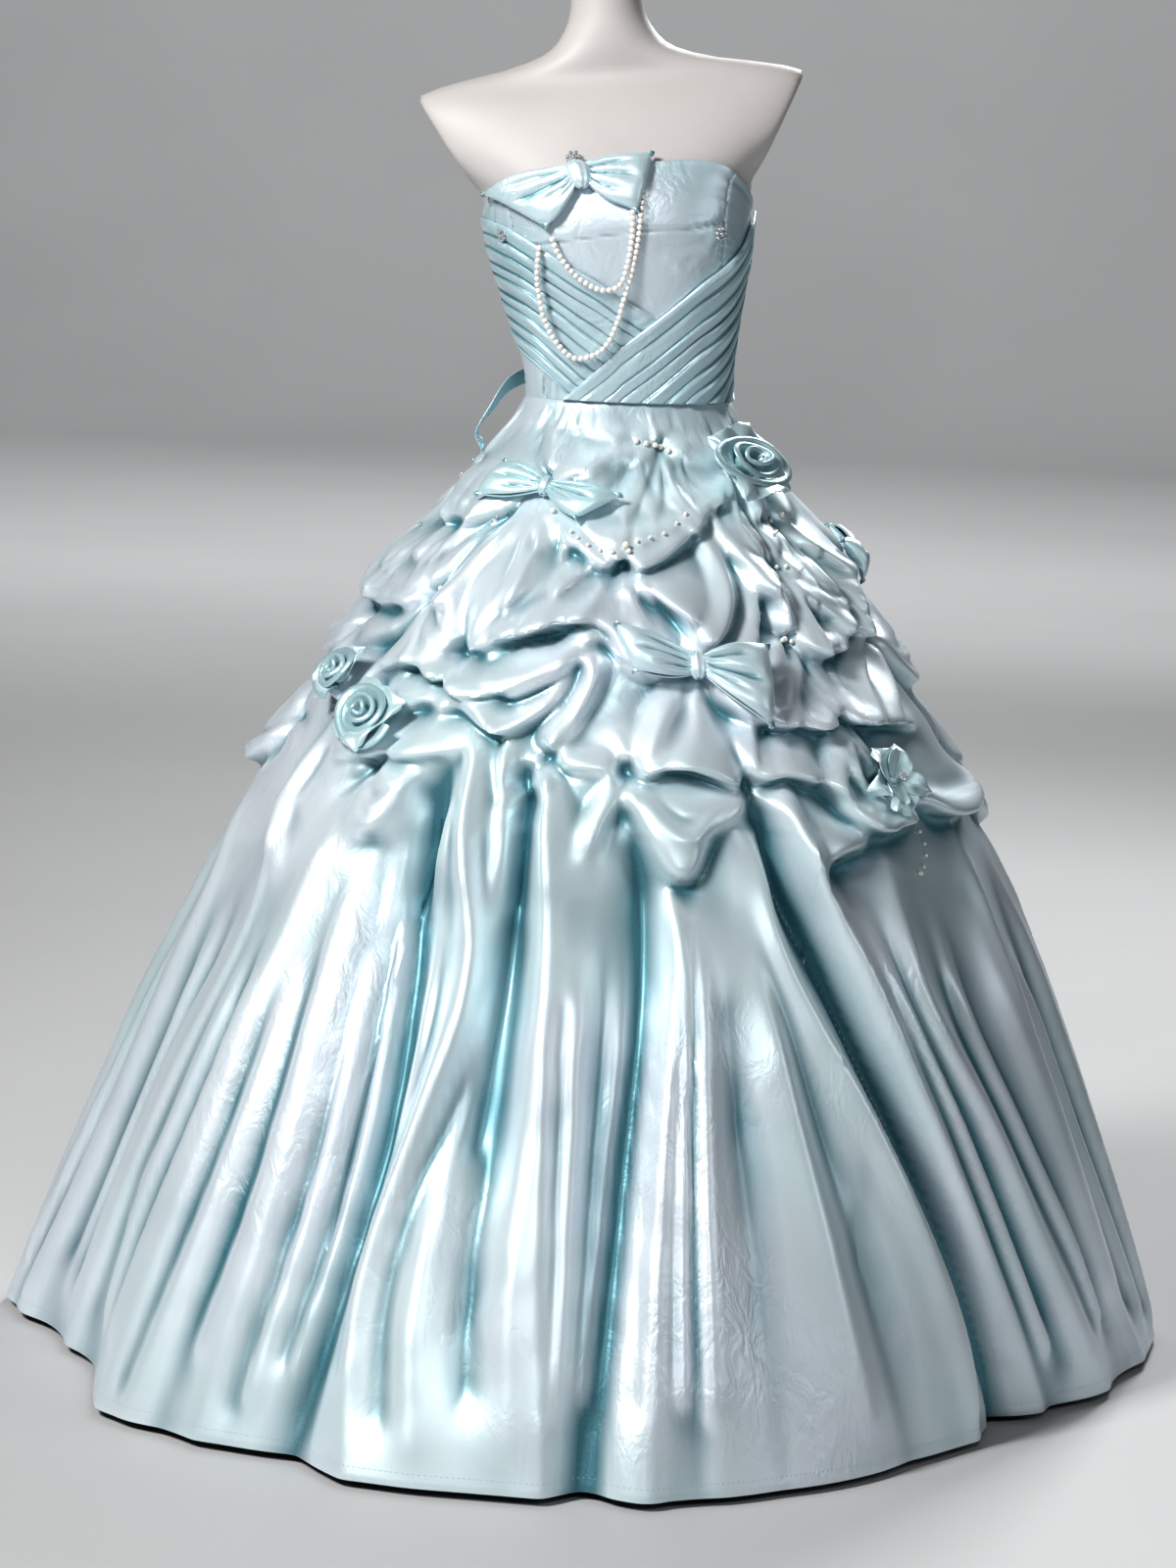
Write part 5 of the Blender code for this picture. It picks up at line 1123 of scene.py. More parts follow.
def mark_line(marks, path, values, side_step=0.0, weight=1.0):
    """Add a line of given values to the marked grid; the line may be moved aside by a length, to its right."""
    line = smooth_curve(path, MARK_STEPS)
    radius = bell_radius(line[:, 1])
    tangent = unit(np.stack((np.radians(np.gradient(line[:, 0])) * radius, np.gradient(line[:, 1])), axis=1))
    share = np.linspace(0.0, 1.0, len(line))
    angle = line[:, 0] + np.degrees(tangent[:, 1] * side_step / radius)
    height = line[:, 1] - tangent[:, 0] * side_step
    column = ((angle - skirt_angles[0]) % 360.0) * skirt_columns / 360.0
    row = np.interp(-height, -skirt_heights, np.arange(len(skirt_heights)))
    length = np.hypot(np.radians(np.gradient(angle)) * radius, np.gradient(height)) / MARK_SPACING
    level = values(share, height)
    total, amount = marks
    for row_step in (0, 1):
        for column_step in (0, 1):
            cell_row, cell_column = row.astype(int) + row_step, column.astype(int) + column_step
            near = (1 - np.abs(row - cell_row)) * (1 - np.abs(column - cell_column))
            near = near * length * weight * ((height < WAIST_HEIGHT) & (height >= HEM_HEIGHT))
            cells = (np.minimum(cell_row, len(skirt_heights) - 1), cell_column % skirt_columns)
            np.add.at(total, cells, near * level)
            np.add.at(amount, cells, near)


def stretched_between(marks, reach, rest=None):
    """The relief of cloth stretched between marked lines: flat-sided, sharp at the lines, at rest far from them.

    Each pass sets every point to the mean of its neighbours, first on coarse grids and then on finer ones."""
    total, amount = marks
    rest = np.zeros(total.shape) if rest is None else rest
    field = None
    for step in GRID_STEPS:
        rows, columns = len(skirt_heights) // step, skirt_columns // step
        block = (slice(0, rows * step), slice(0, columns * step))
        shape = (rows, step, columns, step)
        weight = amount[block].reshape(shape).sum((1, 3))
        level = total[block].reshape(shape).sum((1, 3)) / np.maximum(weight, 1e-9)
        hold = GRIP * np.minimum(weight / step, 1.5)
        base = rest[block].reshape(shape).mean((1, 3))
        height = skirt_heights[:rows * step].reshape(rows, step).mean(1)
        down = np.maximum(np.abs(np.gradient(height)), 1e-4)[:, None]
        across = np.radians(360.0 / columns) * bell_radius(height)[:, None]
        sideways, upright, slack = (down / across) ** 2, 1.0, (down / reach) ** 2
        if field is None:
            field = base.copy()
        else:
            field = np.repeat(np.repeat(field, 2, axis=0), 2, axis=1)
            missing = ((0, max(rows - field.shape[0], 0)), (0, max(columns - field.shape[1], 0)))
            field = np.pad(field, missing, mode="edge")[:rows, :columns]
        divisor = 2 * sideways + 2 * upright + slack + hold * (2 + 2 * sideways)
        before = field
        for _ in range(PASSES):
            beside = np.roll(field, 1, axis=1) + np.roll(field, -1, axis=1)
            above = np.vstack((field[:1], field[:-1]))
            below = np.vstack((field[1:], field[-1:]))
            pull = sideways * beside + upright * (above + below) + slack * base + hold * (2 + 2 * sideways) * level
            field, before = pull / divisor + MOMENTUM * (field - before), field
    return field


def between_folds(first, second, share, top, foot):
    """A path between two long folds, at a share of the way from the first to the second."""
    levels = np.linspace(top, foot, 5)
    spots = []
    for fold in (first, second):
        line = smooth_curve(fold.path, 8)
        spots.append(np.interp(-levels, -line[:, 1], line[:, 0]))
    turn = (spots[1] - spots[0] + 180) % 360 - 180
    return tuple(zip(spots[0] + turn * share, levels))


def main_relief(height, lips):
    """The satin stretched between its hanging lips, its stitches and its long folds."""
    marks = empty_marks()
    for lip in lips:
        proud = DRAPE_FULLNESS * lip.proud
        steep, steep_right = min(lip.left, lip.right), lip.right < lip.left
        for aside, kept in ((0.0, 1.0), (-ROUND_EDGE if steep_right else ROUND_EDGE, 0.97)):
            mark_line(marks, lip.path, lambda share, _: kept * proud * (0.30 + 0.70 * arch(share, 0.7)), aside)
        if max(lip.left, lip.right) > 1.2 * steep:
            aside = 1.15 * (steep if steep_right else -steep)
            mark_line(marks, lip.path, lambda share, _: -0.22 * proud * arch(share), aside, weight=0.8)
    for pick in PICK_UPS:
        reach = np.degrees(STITCH_REACH / float(bell_radius(pick.height)))
        for turn in (0.0, 1.05, 2.1):
            dx, dz = reach * math.cos(turn), STITCH_REACH * math.sin(turn)
            path = [(pick.angle + side * dx, pick.height + side * dz) for side in (-1, 0, 1)]
            mark_line(marks, path, lambda share, _: np.full(len(share), -1.3 * pick.depth), weight=3.0)
    for fold in LONG_FOLDS:
        def lasting(share, level):
            towards_hem = HEM_SHARE + (1 - HEM_SHARE) * smoothstep(level, HEM_HEIGHT, 0.34)
            return LONG_FULLNESS * fold.proud * smoothstep(share, -0.05, 0.25) * towards_hem

        mark_line(marks, fold.path, lasting)
    rest = POUF_LIFT * smoothstep(height, 0.60, 0.70) * smoothstep(WAIST_HEIGHT - height, 0.02, 0.09)
    relief = stretched_between(marks, MEMBRANE_REACH, rest)
    upper = smoothstep(height, 0.56, 0.64)
    relief = relief + upper * (blurred(relief, 1, closed=True) - relief)
    return relief * smoothstep(WAIST_HEIGHT - height, 0.0, 0.045)


def smaller_relief(lips, random):
    """Folds nested in the lips, the creases between them, pulls between stitches, and folds between long ones."""
    marks = empty_marks()
    for number, lip in enumerate(lips):
        for fold in nested_folds(lip, number):
            mark_line(marks, fold.path, lambda share, _: fold.proud * arch(share, 0.6))
    for fold in DRAPE_CREASES:
        for aside, part in ((0.0, 1.0), (CREASE_SPACING, -0.40), (-CREASE_SPACING, -0.40)):
            lift = part * CREASE_FULLNESS * fold.proud
            mark_line(marks, fold.path, lambda share, _: lift * arch(share, 0.6), aside)
    for path, lift in tension_folds(random):
        mark_line(marks, path, lambda share, _: lift * arch(share, 0.5))
    hanging = [fold for fold in LONG_FOLDS if fold.path[-1][1] <= HEM_HEIGHT]
    for first, second in zip(hanging, hanging[1:] + hanging[:1]):
        for number in range(BETWEEN_FOLDS):
            way = (number + 1) / (BETWEEN_FOLDS + 1) + random.uniform(-0.07, 0.07)
            top, foot = random.uniform(0.44, 0.60), random.uniform(0.0, 0.10)
            lift = random.uniform(0.5, 1.1) * BETWEEN_LIFT * (1 if number % 2 else -1)

            def swelling(share, _):
                return lift * smoothstep(share, 0.0, 0.3) * (1 - 0.3 * smoothstep(share, 0.6, 1.0))

            mark_line(marks, between_folds(first, second, way, top, max(foot, HEM_HEIGHT)), swelling)
    return stretched_between(marks, FOLD_REACH)


def fine_relief(random):
    """Crisp creases, gathers round the stitches, puckers under the waist seam and small stray creases."""
    marks = empty_marks()
    for fold in LONG_CREASES:
        mark_line(marks, fold.path, lambda share, _: 1.2 * fold.proud * arch(share, 0.7))
    for pick in PICK_UPS:
        start = random.uniform(0, 360)
        for number in range(GATHERS):
            way = math.radians(start + number * 360.0 / GATHERS + random.uniform(-12, 12))
            length = random.uniform(0.045, 0.095)
            spots = []
            for share in (0.0, 0.35, 0.7, 1.0):
                reach = STITCH_REACH + length * share
                bend = way + 0.35 * share * random.uniform(-1, 1)
                east = math.degrees(reach * math.sin(bend) / float(bell_radius(pick.height)))
                spots.append((pick.angle + east, pick.height + reach * math.cos(bend)))
            lift = GATHER_LIFT * random.uniform(0.6, 1.3) * (1 if number % 2 else -0.7)
            mark_line(marks, spots, lambda share, _: lift * smoothstep(share, -0.1, 0.2) * (1 - share))
    for turn in np.arange(0, 360, WAIST_PUCKERS):
        turn += random.uniform(-1.6, 1.6)
        spots = [(turn, PUCKER_TOP), (turn + random.uniform(-1, 1), PUCKER_MIDDLE)]
        spots.append((turn + random.uniform(-3, 3), PUCKER_MIDDLE - random.uniform(0.008, 0.03)))
        lift = random.uniform(0.0008, 0.0026) * random.choice((1, 1, -1))
        mark_line(marks, spots, lambda share, _: lift * (1 - share))
    for _ in range(SMALL_CREASES):
        turn, level = random.uniform(0, 360), random.uniform(0.10, 0.52)
        points = [(turn, level)]
        for _ in range(3):
            turn += random.uniform(-1.6, 1.6)
            level -= random.uniform(0.020, 0.045)
            points.append((turn, level))
        lift = random.uniform(0.0008, 0.0022) * (1 if random.random() < 0.7 else -1)
        mark_line(marks, points, lambda share, _: lift * arch(share))
    return stretched_between(marks, CREASE_REACH)


def skirt_surface(angle, height):
    """The skirt's right side: its bell and hem plan with the relief of its folds, stitches and creases."""
    lips = DRAPE_LIPS + swag_lips()
    random = np.random.default_rng(FOLD_SEED)
    relief = main_relief(height, lips)
    relief = relief + smaller_relief(lips, random) * smoothstep(WAIST_HEIGHT - height, 0.0, 0.03)
    relief = relief + fine_relief(random) * smoothstep(WAIST_HEIGHT - height, 0.0, 0.02)
    relief = 0.3 * relief + 0.7 * blurred(relief, 1, closed=True)
    # the folds take as much cloth inwards as outwards, so that the bell keeps its girth
    relief = relief - GIRTH_KEPT * relief.mean(axis=1, keepdims=True)
    plan_share = np.clip((0.75 - height) / 0.74, 0.0, 1.0) ** 1.5
    plan = hem_radius(wrapped(angle)) / bell_radius(HEM_HEIGHT)
    radius = bell_radius(height) * (1 + (plan - 1) * plan_share) + relief
    turn = np.radians(angle)
    waist_share = np.where(np.cos(turn) > 0, WAIST_FRONT_SHARE, WAIST_BACK_SHARE)
    roundness = smoothstep(WAIST_HEIGHT - height, 0.0, 0.13)
    depth_share = waist_share + (1 - waist_share) * roundness
    power = SECTION_POWER + (2.0 - SECTION_POWER) * roundness
    droop = HANG_SHARE * np.maximum(relief, 0.0) * smoothstep(height, 0.48, 0.62)
    x = radius * rounded(np.sin(turn), power)
    y = -radius * rounded(np.cos(turn), power) * depth_share
    return np.stack((x, y, height - droop), axis=-1)


skirt_columns = GORE_COUNT * GORE_COLUMNS
skirt_angles = np.arange(skirt_columns) * 360.0 / skirt_columns - 180.0 / GORE_COUNT
upper_rows = SKIRT_ROWS * 5 // 9
upper_heights = np.linspace(WAIST_HEIGHT, CLOSE_ROWS_FOOT, upper_rows, endpoint=False)
lower_heights = np.linspace(CLOSE_ROWS_FOOT, HEM_HEIGHT, SKIRT_ROWS - upper_rows)
skirt_heights = np.concatenate((upper_heights, lower_heights))
grid_angles, grid_heights = np.meshgrid(skirt_angles, skirt_heights)
skirt_face = skirt_surface(grid_angles, grid_heights)
skirt_satin = satin_finish("skirt_satin", bloom_amount=0.65, crumples=(42.0, 0.50, 0.0006))
# painted shade: the deep colour in the skirt's hollows, at three sizes
skirt_hollow = hollow_of(skirt_face, ((3, 0.005), (8, 0.011), (24, 0.030)), closed=True) ** 0.85
skirt_normals = face_normals(skirt_face, closed=True)
skirt_normals[0, :, 2] = 0.0
skirt_normals[-1, :, 2] = 0.0
skirt_back = skirt_face - SKIRT_WALL * unit(skirt_normals)
Gore = namedtuple("Gore", "name node")
GORES = (
    Gore("skirt_gore_front", "skirt_front"), Gore("skirt_gore_front_right", "skirt_front_right"),
    Gore("skirt_gore_back_right", "skirt_back_right"), Gore("skirt_gore_back", "skirt_back"),
    Gore("skirt_gore_back_left", "skirt_back_left"), Gore("skirt_gore_front_left", "skirt_front_left"),
)
for number, gore in enumerate(GORES):
    columns = np.arange(number * GORE_COLUMNS, (number + 1) * GORE_COLUMNS + 1) % skirt_columns
    turn = np.radians(skirt_angles[columns[[0, -1]]])
    sideways = np.stack((np.cos(turn), np.sin(turn), np.zeros(2)), axis=1) * SEAM_HALF
    surfaces = []
    for surface in (skirt_face, skirt_back):
        part = surface[:, columns].copy()
        part[:, 0] += sideways[0]
        part[:, -1] -= sideways[1]
        surfaces.append(part)
    piece = cloth_shell(gore.name, surfaces[0], SKIRT_WALL, skirt_satin, skirt_hollow[:, columns], surfaces[1])
    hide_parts(gore.node)
    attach(piece, "root")

# ---- Bows ----
# Each bow is a bias tube of satin: two gathered loops whose rolled edges catch the light, drawn in by a creased
# knot. The bows lie on the cloth below them, one at the neckline, three on the skirt.
Bow = namedtuple("Bow", "name place left_top left_bottom right_top right_bottom bulge knot_width knot_height")
Place = namedtuple("Place", "angle height")
Valley = namedtuple("Valley", "share drift depth width fade")
BOWS = (
    Bow(
        "neck_bow", Place(-11, 1.229), (-0.110, -0.005), (-0.038, -0.047), (0.046, 0.018), (0.038, -0.036),
        0.0075, 0.0085, 0.0125,
    ),
    Bow(
        "waist_bow", Place(-28, 0.915), (-0.060, 0.030), (-0.074, -0.018), (0.080, 0.004), (0.050, -0.038),
        0.0085, 0.0065, 0.0105,
    ),
    Bow(
        "hip_bow", Place(15, 0.754), (-0.078, 0.046), (-0.064, -0.006), (0.074, 0.022), (0.068, -0.066),
        0.0105, 0.0085, 0.0135,
    ),
    Bow(
        "side_bow", Place(93, 0.838), (-0.052, 0.026), (-0.050, -0.022), (0.052, 0.034), (0.050, -0.020),
        0.0095, 0.0065, 0.0105,
    ),
)
# gathers that fan out from the knot: where they start across the loop, how they drift, depth, width and reach
LOOP_VALLEYS = (
    Valley(0.24, -0.10, 0.0046, 0.055, 0.80), Valley(0.47, 0.03, 0.0060, 0.060, 0.95),
    Valley(0.70, 0.10, 0.0042, 0.050, 0.72), Valley(0.36, 0.02, 0.0022, 0.035, 0.45),
    Valley(0.60, -0.02, 0.0024, 0.035, 0.40), Valley(0.86, 0.03, 0.0020, 0.040, 0.55),
)
LOOP_COLUMNS = 70
LOOP_ROWS = 34
LOOP_WALL = 0.0013
LOOP_RIM = 0.0016
# a loop's strip turns from this angle round to its mirror, and is this much longer than its reach
LOOP_TURN = 0.16
LOOP_LENGTH_SHARE = 2.7
KNOT_DEPTH = 0.0065
KNOT_FULLNESS = 1.25
KNOT_POWER = 2.6
KNOT_COLUMNS = 54
KNOT_ROWS = 20
TRIM_CLEAR = 0.0006
RESTING_CELLS = 32
BOW_PATCH = (0.115, 0.075)


def tree_of_grid(face, closed=False):
    rows, columns = face.shape[:2]
    index = np.arange(rows * columns).reshape(rows, columns)
    if closed:
        index = np.concatenate((index, index[:, :1]), axis=1)
    quads = np.stack((index[:-1, :-1], index[1:, :-1], index[1:, 1:], index[:-1, 1:]), axis=-1).reshape(-1, 4)
    return BVHTree.FromPolygons(face.reshape(-1, 3).tolist(), quads.tolist())


def tree_of_pieces(pieces):
    points, faces = [], []
    for piece in pieces:
        start = len(points)
        points += [tuple(vertex.co) for vertex in piece.data.vertices]
        faces += [[start + corner for corner in face.vertices] for face in piece.data.polygons]
    return BVHTree.FromPolygons(points, faces)


def skirt_plane(angle, height):
    """A function that places (across, up, out) on the plane touching the skirt's bell there."""
    slope = float(bell_radius(height + 0.02) - bell_radius(height - 0.02)) / 0.04
    turn = math.radians(angle)
    outward = np.array((math.sin(turn), -math.cos(turn), 0.0))
    across = np.array((math.cos(turn), math.sin(turn), 0.0))
    upward = unit(outward * slope + np.array((0.0, 0.0, 1.0)))
    normal = np.cross(across, upward)
    origin = outward * float(bell_radius(height)) + np.array((0.0, 0.0, height))
    return lambda x, y, out: origin + x[..., None] * across + y[..., None] * upward + out[..., None] * normal


def bodice_place(angle, height):
    """A function that places (across, up, out) round the bodice."""
    return lambda x, y, out: body_point(angle + np.degrees(x / 0.128), height + y, out)


def resting_field(tree, spot, half_x, half_y, clear=0.09, bridging=2):
    """How far out the cloth lies under a trim, bridged over its hollows: a function of across and up."""
    xs, ys = np.meshgrid(np.linspace(-half_x, half_x, RESTING_CELLS), np.linspace(-half_y, half_y, RESTING_CELLS))
    outer = spot(xs, ys, np.full(xs.shape, clear))
    inner = spot(xs, ys, np.zeros(xs.shape))
    way = unit(inner - outer)
    field = np.full(xs.shape, np.nan)
    for row in range(RESTING_CELLS):
        for column in range(RESTING_CELLS):
            distance = tree.ray_cast(Vector(outer[row, column]), Vector(way[row, column]), 3 * clear)[3]
            if distance is not None:
                field[row, column] = clear - distance
    field = np.where(np.isnan(field), np.nanmin(field), field)
    for _ in range(bridging):
        padded = np.pad(field, 1, mode="edge")
        for shift in (0, 1, 2):
            for other in (0, 1, 2):
                field = np.maximum(field, padded[shift:shift + RESTING_CELLS, other:other + RESTING_CELLS])
    field = blurred(field, 1)

    def read(x, y):
        column = np.clip((x / half_x + 1) / 2 * (RESTING_CELLS - 1), 0, RESTING_CELLS - 1.001)
        row = np.clip((y / half_y + 1) / 2 * (RESTING_CELLS - 1), 0, RESTING_CELLS - 1.001)
        c, r = column.astype(int), row.astype(int)
        p, q = column - c, row - r
        top = field[r, c] * (1 - p) + field[r, c + 1] * p
        return top * (1 - q) + (field[r + 1, c] * (1 - p) + field[r + 1, c + 1] * p) * q

    return read


def loop_sheet(top, bottom, bulge, knot_width, knot_height, seed):
    """One bow loop as across, up and lift: the strip runs out, turns at the tip and comes back to the knot."""
    side = math.copysign(1.0, top[0])
    turns = np.linspace(LOOP_TURN, math.pi - LOOP_TURN, LOOP_COLUMNS)[None, :]
    share = np.linspace(0.0, 1.0, LOOP_ROWS)[:, None]
    reach = (np.sin(turns) - math.sin(LOOP_TURN)) / (1 - math.sin(LOOP_TURN))
    front = np.cos(turns) > 0
    tip_x = top[0] + (bottom[0] - top[0]) * share + side * 0.003 * np.sin(math.pi * share)
    tip_y = top[1] + (bottom[1] - top[1]) * share
    root_x = side * (knot_width * 0.55)
    root_y = knot_height * 0.62 * (1 - 2 * share)
    swell = 0.004 * np.sin(math.pi * np.clip(reach * 1.1, 0, 1)) * (1 - 2 * share)
    x = root_x + (tip_x - root_x) * reach
    y = root_y + (tip_y - root_y) * reach**0.85 + swell * (0.7 if seed % 2 else 1.0)
    lift = np.cos(turns) * (0.0026 + 1.7 * bulge * np.sin(turns) * (0.75 + 0.5 * np.sin(math.pi * share)))
    lift = np.where(lift < 0, lift * 0.35, lift)
    creases = np.zeros(lift.shape)
    for number, valley in enumerate(LOOP_VALLEYS):
        wobble = noise.noise((seed * 3.1, number * 1.7, 0.5))
        centre = valley.share + 0.05 * wobble + (valley.drift + 0.03 * wobble) * reach
        width = valley.width * (0.75 + 1.1 * reach)
        fade = smoothstep(reach, 0.02, 0.14) * (1 - smoothstep(reach, valley.fade - 0.35, valley.fade))
        creases -= valley.depth * (1 + 0.5 * wobble) * fade * np.exp(-np.abs((share - centre) / width) ** 1.4)
    gathers = 0.0012 * np.cos(2 * math.pi * (share * 5.0 + 0.13 * seed)) * np.exp(-reach / 0.16)
    lift = lift + np.where(front, creases + gathers, 0.3 * creases) * np.clip(np.abs(np.cos(turns)) * 3.0, 0, 1)
    edge = np.minimum(share, 1 - share)
    lift = lift - 0.0030 * np.where(front, 1.0, -0.4) * np.exp(-((edge / 0.055) ** 1.5)) * np.sin(turns)
    return x, y, lift


def hang_loop(node, spot, field, sheet):
    """Lay one loop on the cloth below it, its right side outwards and its two edges rolled."""
    x, y, lift = (np.broadcast_to(part, sheet[2].shape) for part in sheet)
    out = field(x, y) + lift - lift.min() + LOOP_WALL + TRIM_CLEAR
    face = spot(x, y, out)
    normal = face_normals(face)
    outward = (spot(x[:1, :1], y[:1, :1], out[:1, :1] + 1) - face[:1, :1])[0, 0]
    if np.mean(normal[:, LOOP_COLUMNS // 6] @ outward) < 0:
        face = face[:, ::-1]
        normal = face_normals(face)
    share = np.linspace(0.0, 1.0, LOOP_ROWS)[:, None, None]
    back = face - normal * (LOOP_WALL + LOOP_RIM * soft_peak(np.minimum(share, 1 - share), 0.045))
    # painted shade in the loop's gathers and hollows
    hollow = hollow_of(face, ((3, 0.0024), (7, 0.0060)))
    piece = cloth_shell(f"{node}_cloth", face, LOOP_WALL, bow_satin, hollow, back)
    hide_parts(node)
    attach(piece, "root")


def hang_knot(node, spot, field, bow, seed):
    """Set a creased knot, a barrel that narrows towards its two ends, over the loops' roots."""
    turns = np.arange(KNOT_COLUMNS) * 2 * math.pi / KNOT_COLUMNS
    level = np.linspace(1.0, -1.0, KNOT_ROWS)[:, None]
    scale = (1 - 0.62 * np.abs(level) ** 3.0)
    creases = 0.9 * np.cos(turns * 9 + seed) + 0.5 * np.cos(turns * 5 + 2.1 * seed)
    creases = 0.00055 * creases[None, :] * (0.5 + 0.5 * np.abs(level) ** 0.6)
    width = bow.knot_width * scale + creases
    depth = KNOT_DEPTH * KNOT_FULLNESS * scale + creases
    x = width * rounded(np.sin(turns), KNOT_POWER)[None, :]
    y = bow.knot_height * 1.05 * level + np.zeros(x.shape)
    base = float(np.max(field(np.zeros(1), np.zeros(1)))) + KNOT_DEPTH + TRIM_CLEAR + 0.002
    face = spot(x, y, base + depth * rounded(np.cos(turns), KNOT_POWER)[None, :])
    # painted shade in the knot's creases
    hollow = hollow_of(face, ((2, 0.0009),), closed=True)
    piece = cloth_shell(f"{node}_cloth", face, LOOP_WALL, bow_satin, hollow, closed=True)
    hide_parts(node)
    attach(piece, "root")


bow_satin = satin_finish(
    "bow_satin", light=(0.56, 0.78, 0.82, 1.0), deep=(0.050, 0.200, 0.245, 1.0), bloom_amount=0.35,
    crumples=(34.0, 1.0, 0.0010),
)
bodice_tree = tree_of_pieces(bodice + wraps)
skirt_tree = tree_of_grid(skirt_face, closed=True)
for number, bow in enumerate(BOWS):
    if bow.place.height > WAIST_HEIGHT:
        spot = bodice_place(*bow.place)
        field = resting_field(bodice_tree, spot, *BOW_PATCH, 0.05, 1)
    else:
        spot = skirt_plane(*bow.place)
        field = resting_field(skirt_tree, spot, *BOW_PATCH)
    for part, top, bottom in (("left", bow.left_top, bow.left_bottom), ("right", bow.right_top, bow.right_bottom)):
        seed = 2 * number + (part == "right")
        sheet = loop_sheet(top, bottom, bow.bulge, bow.knot_width, bow.knot_height, seed)
        length = LOOP_LENGTH_SHARE * math.hypot((top[0] + bottom[0]) / 2, (top[1] + bottom[1]) / 2)
        breadth = 0.6 * (math.dist(top, bottom) + 1.24 * bow.knot_height) + 0.012
        hang_loop(f"{bow.name}_loop_{part}", spot, field, sheet)
    hang_knot(f"{bow.name}_knot", spot, field, bow, number)

# ---- Roses and open flower ----
# Rolled satin roses are wound from a folded strip, loose and uneven, with cupped petals tucked under the last
# turns. The flower at the right hip has gathered petals with curled tips.
Rose = namedtuple("Rose", "name place radius turns stretch tip petals")
ROSES = (
    Rose(
        "rose_waist", Place(52, 0.938), 0.045, 3.4, 1.34, -0.12,
        ((-2.4, 0.055), (-0.9, 0.050), (0.7, 0.054), (2.2, 0.055)),
    ),
    Rose(
        "rose_hip_front", Place(-46, 0.680), 0.037, 3.3, 1.10, -0.45,
        ((-2.0, 0.044), (-0.6, 0.046), (1.1, 0.045), (2.7, 0.044)),
    ),
    Rose("rose_hip_side", Place(-59, 0.712), 0.029, 3.0, 1.08, 0.30, ((-2.6, 0.035), (-1.1, 0.035), (0.6, 0.036))),
)
ROSE_COLUMNS = 204
ROSE_ROWS = 20
ROSE_WALL = 0.0011
ROSE_HEART = 0.0042
ROSE_FOOT = 0.003
ROSE_BEND = 0.86
ROSE_PETAL_ROOT = 0.30
FLOWER_PETAL_ROOT = 0.10
PETAL_STEPS = 20
FLOWER_PLACE = Place(50, 0.640)
# petals of the flower: direction in degrees from up towards the right, length, half width, rise and curl
Petal = namedtuple("Petal", "way length half_width rise curl")
FLOWER_PETALS = (
    Petal(-98, 0.046, 0.016, 0.010, 0.012), Petal(-32, 0.042, 0.018, 0.013, 0.008),
    Petal(24, 0.040, 0.017, 0.014, 0.009), Petal(112, 0.052, 0.013, 0.012, 0.006),
    Petal(176, 0.040, 0.018, 0.008, 0.010), Petal(-146, 0.040, 0.016, 0.009, 0.010),
)


def join_pieces(name, pieces):
    with bpy.context.temp_override(active_object=pieces[0], object=pieces[0], selected_editable_objects=pieces):
        bpy.ops.object.join()
    pieces[0].name = name
    pieces[0].data.name = name
    return pieces[0]


def petal_grid(petal, seed, root):
    """One cupped petal with a pointed, curled tip, as across, up and lift."""
    along = np.linspace(root, 1.0, PETAL_STEPS)[:, None]
    side = np.linspace(-1.0, 1.0, PETAL_STEPS)[None, :]
    breadth = petal.half_width * np.sin(math.pi * np.clip(along * 0.86 + 0.07, 0, 1)) ** 0.75 * (1 - 0.25 * along**3)
    breadth = breadth * (1 + 0.10 * noise.noise((seed * 1.3, 0.2, 0.7)))
    outward = petal.length * along * (1 - 0.10 * side**2) + np.zeros(side.shape)
    sideways = breadth * side
    lift = petal.rise * np.sin(along * 1.9) + 0.22 * petal.half_width * side**2 * (1 - along)
    lift = lift - petal.curl * smoothstep(along, 0.72, 1.0) * (0.6 + 0.4 * side**2)
    lift = lift - 0.0016 * soft_peak(side, 0.16) * (1 - along) + 0.0012 * np.cos(side * 5.0 + seed) * along
    turn = math.radians(petal.way)
    x = outward * math.sin(turn) + sideways * math.cos(turn)
    y = outward * math.cos(turn) - sideways * math.sin(turn)
    return x, y, lift


def outward_of(spot):
    """The direction that looks straight out of a placed plane."""
    origin = np.zeros(1)
    return (spot(origin, origin, origin + 1) - spot(origin, origin, origin))[0]


# the roses take a lighter deep colour and less painted shade: painted light that keeps them as pale as the skirt
# inside their own shadows
rose_satin = satin_finish(
    "rose_satin", light=(0.62, 0.82, 0.86, 1.0), deep=(0.080, 0.270, 0.320, 1.0), gain=0.60, bloom_amount=0.25,
    crumples=(40.0, 1.0, 0.0007),
)


def petal_shell(name, face, towards):
    """A petal's cloth, its right side looking along a direction."""
    if np.sum(face_normals(face) * towards) < 0:
        face = face[:, ::-1]
    # painted shade in the petal's hollows
    return cloth_shell(name, face, ROSE_WALL, rose_satin, hollow_of(face, ((3, 0.002),)))


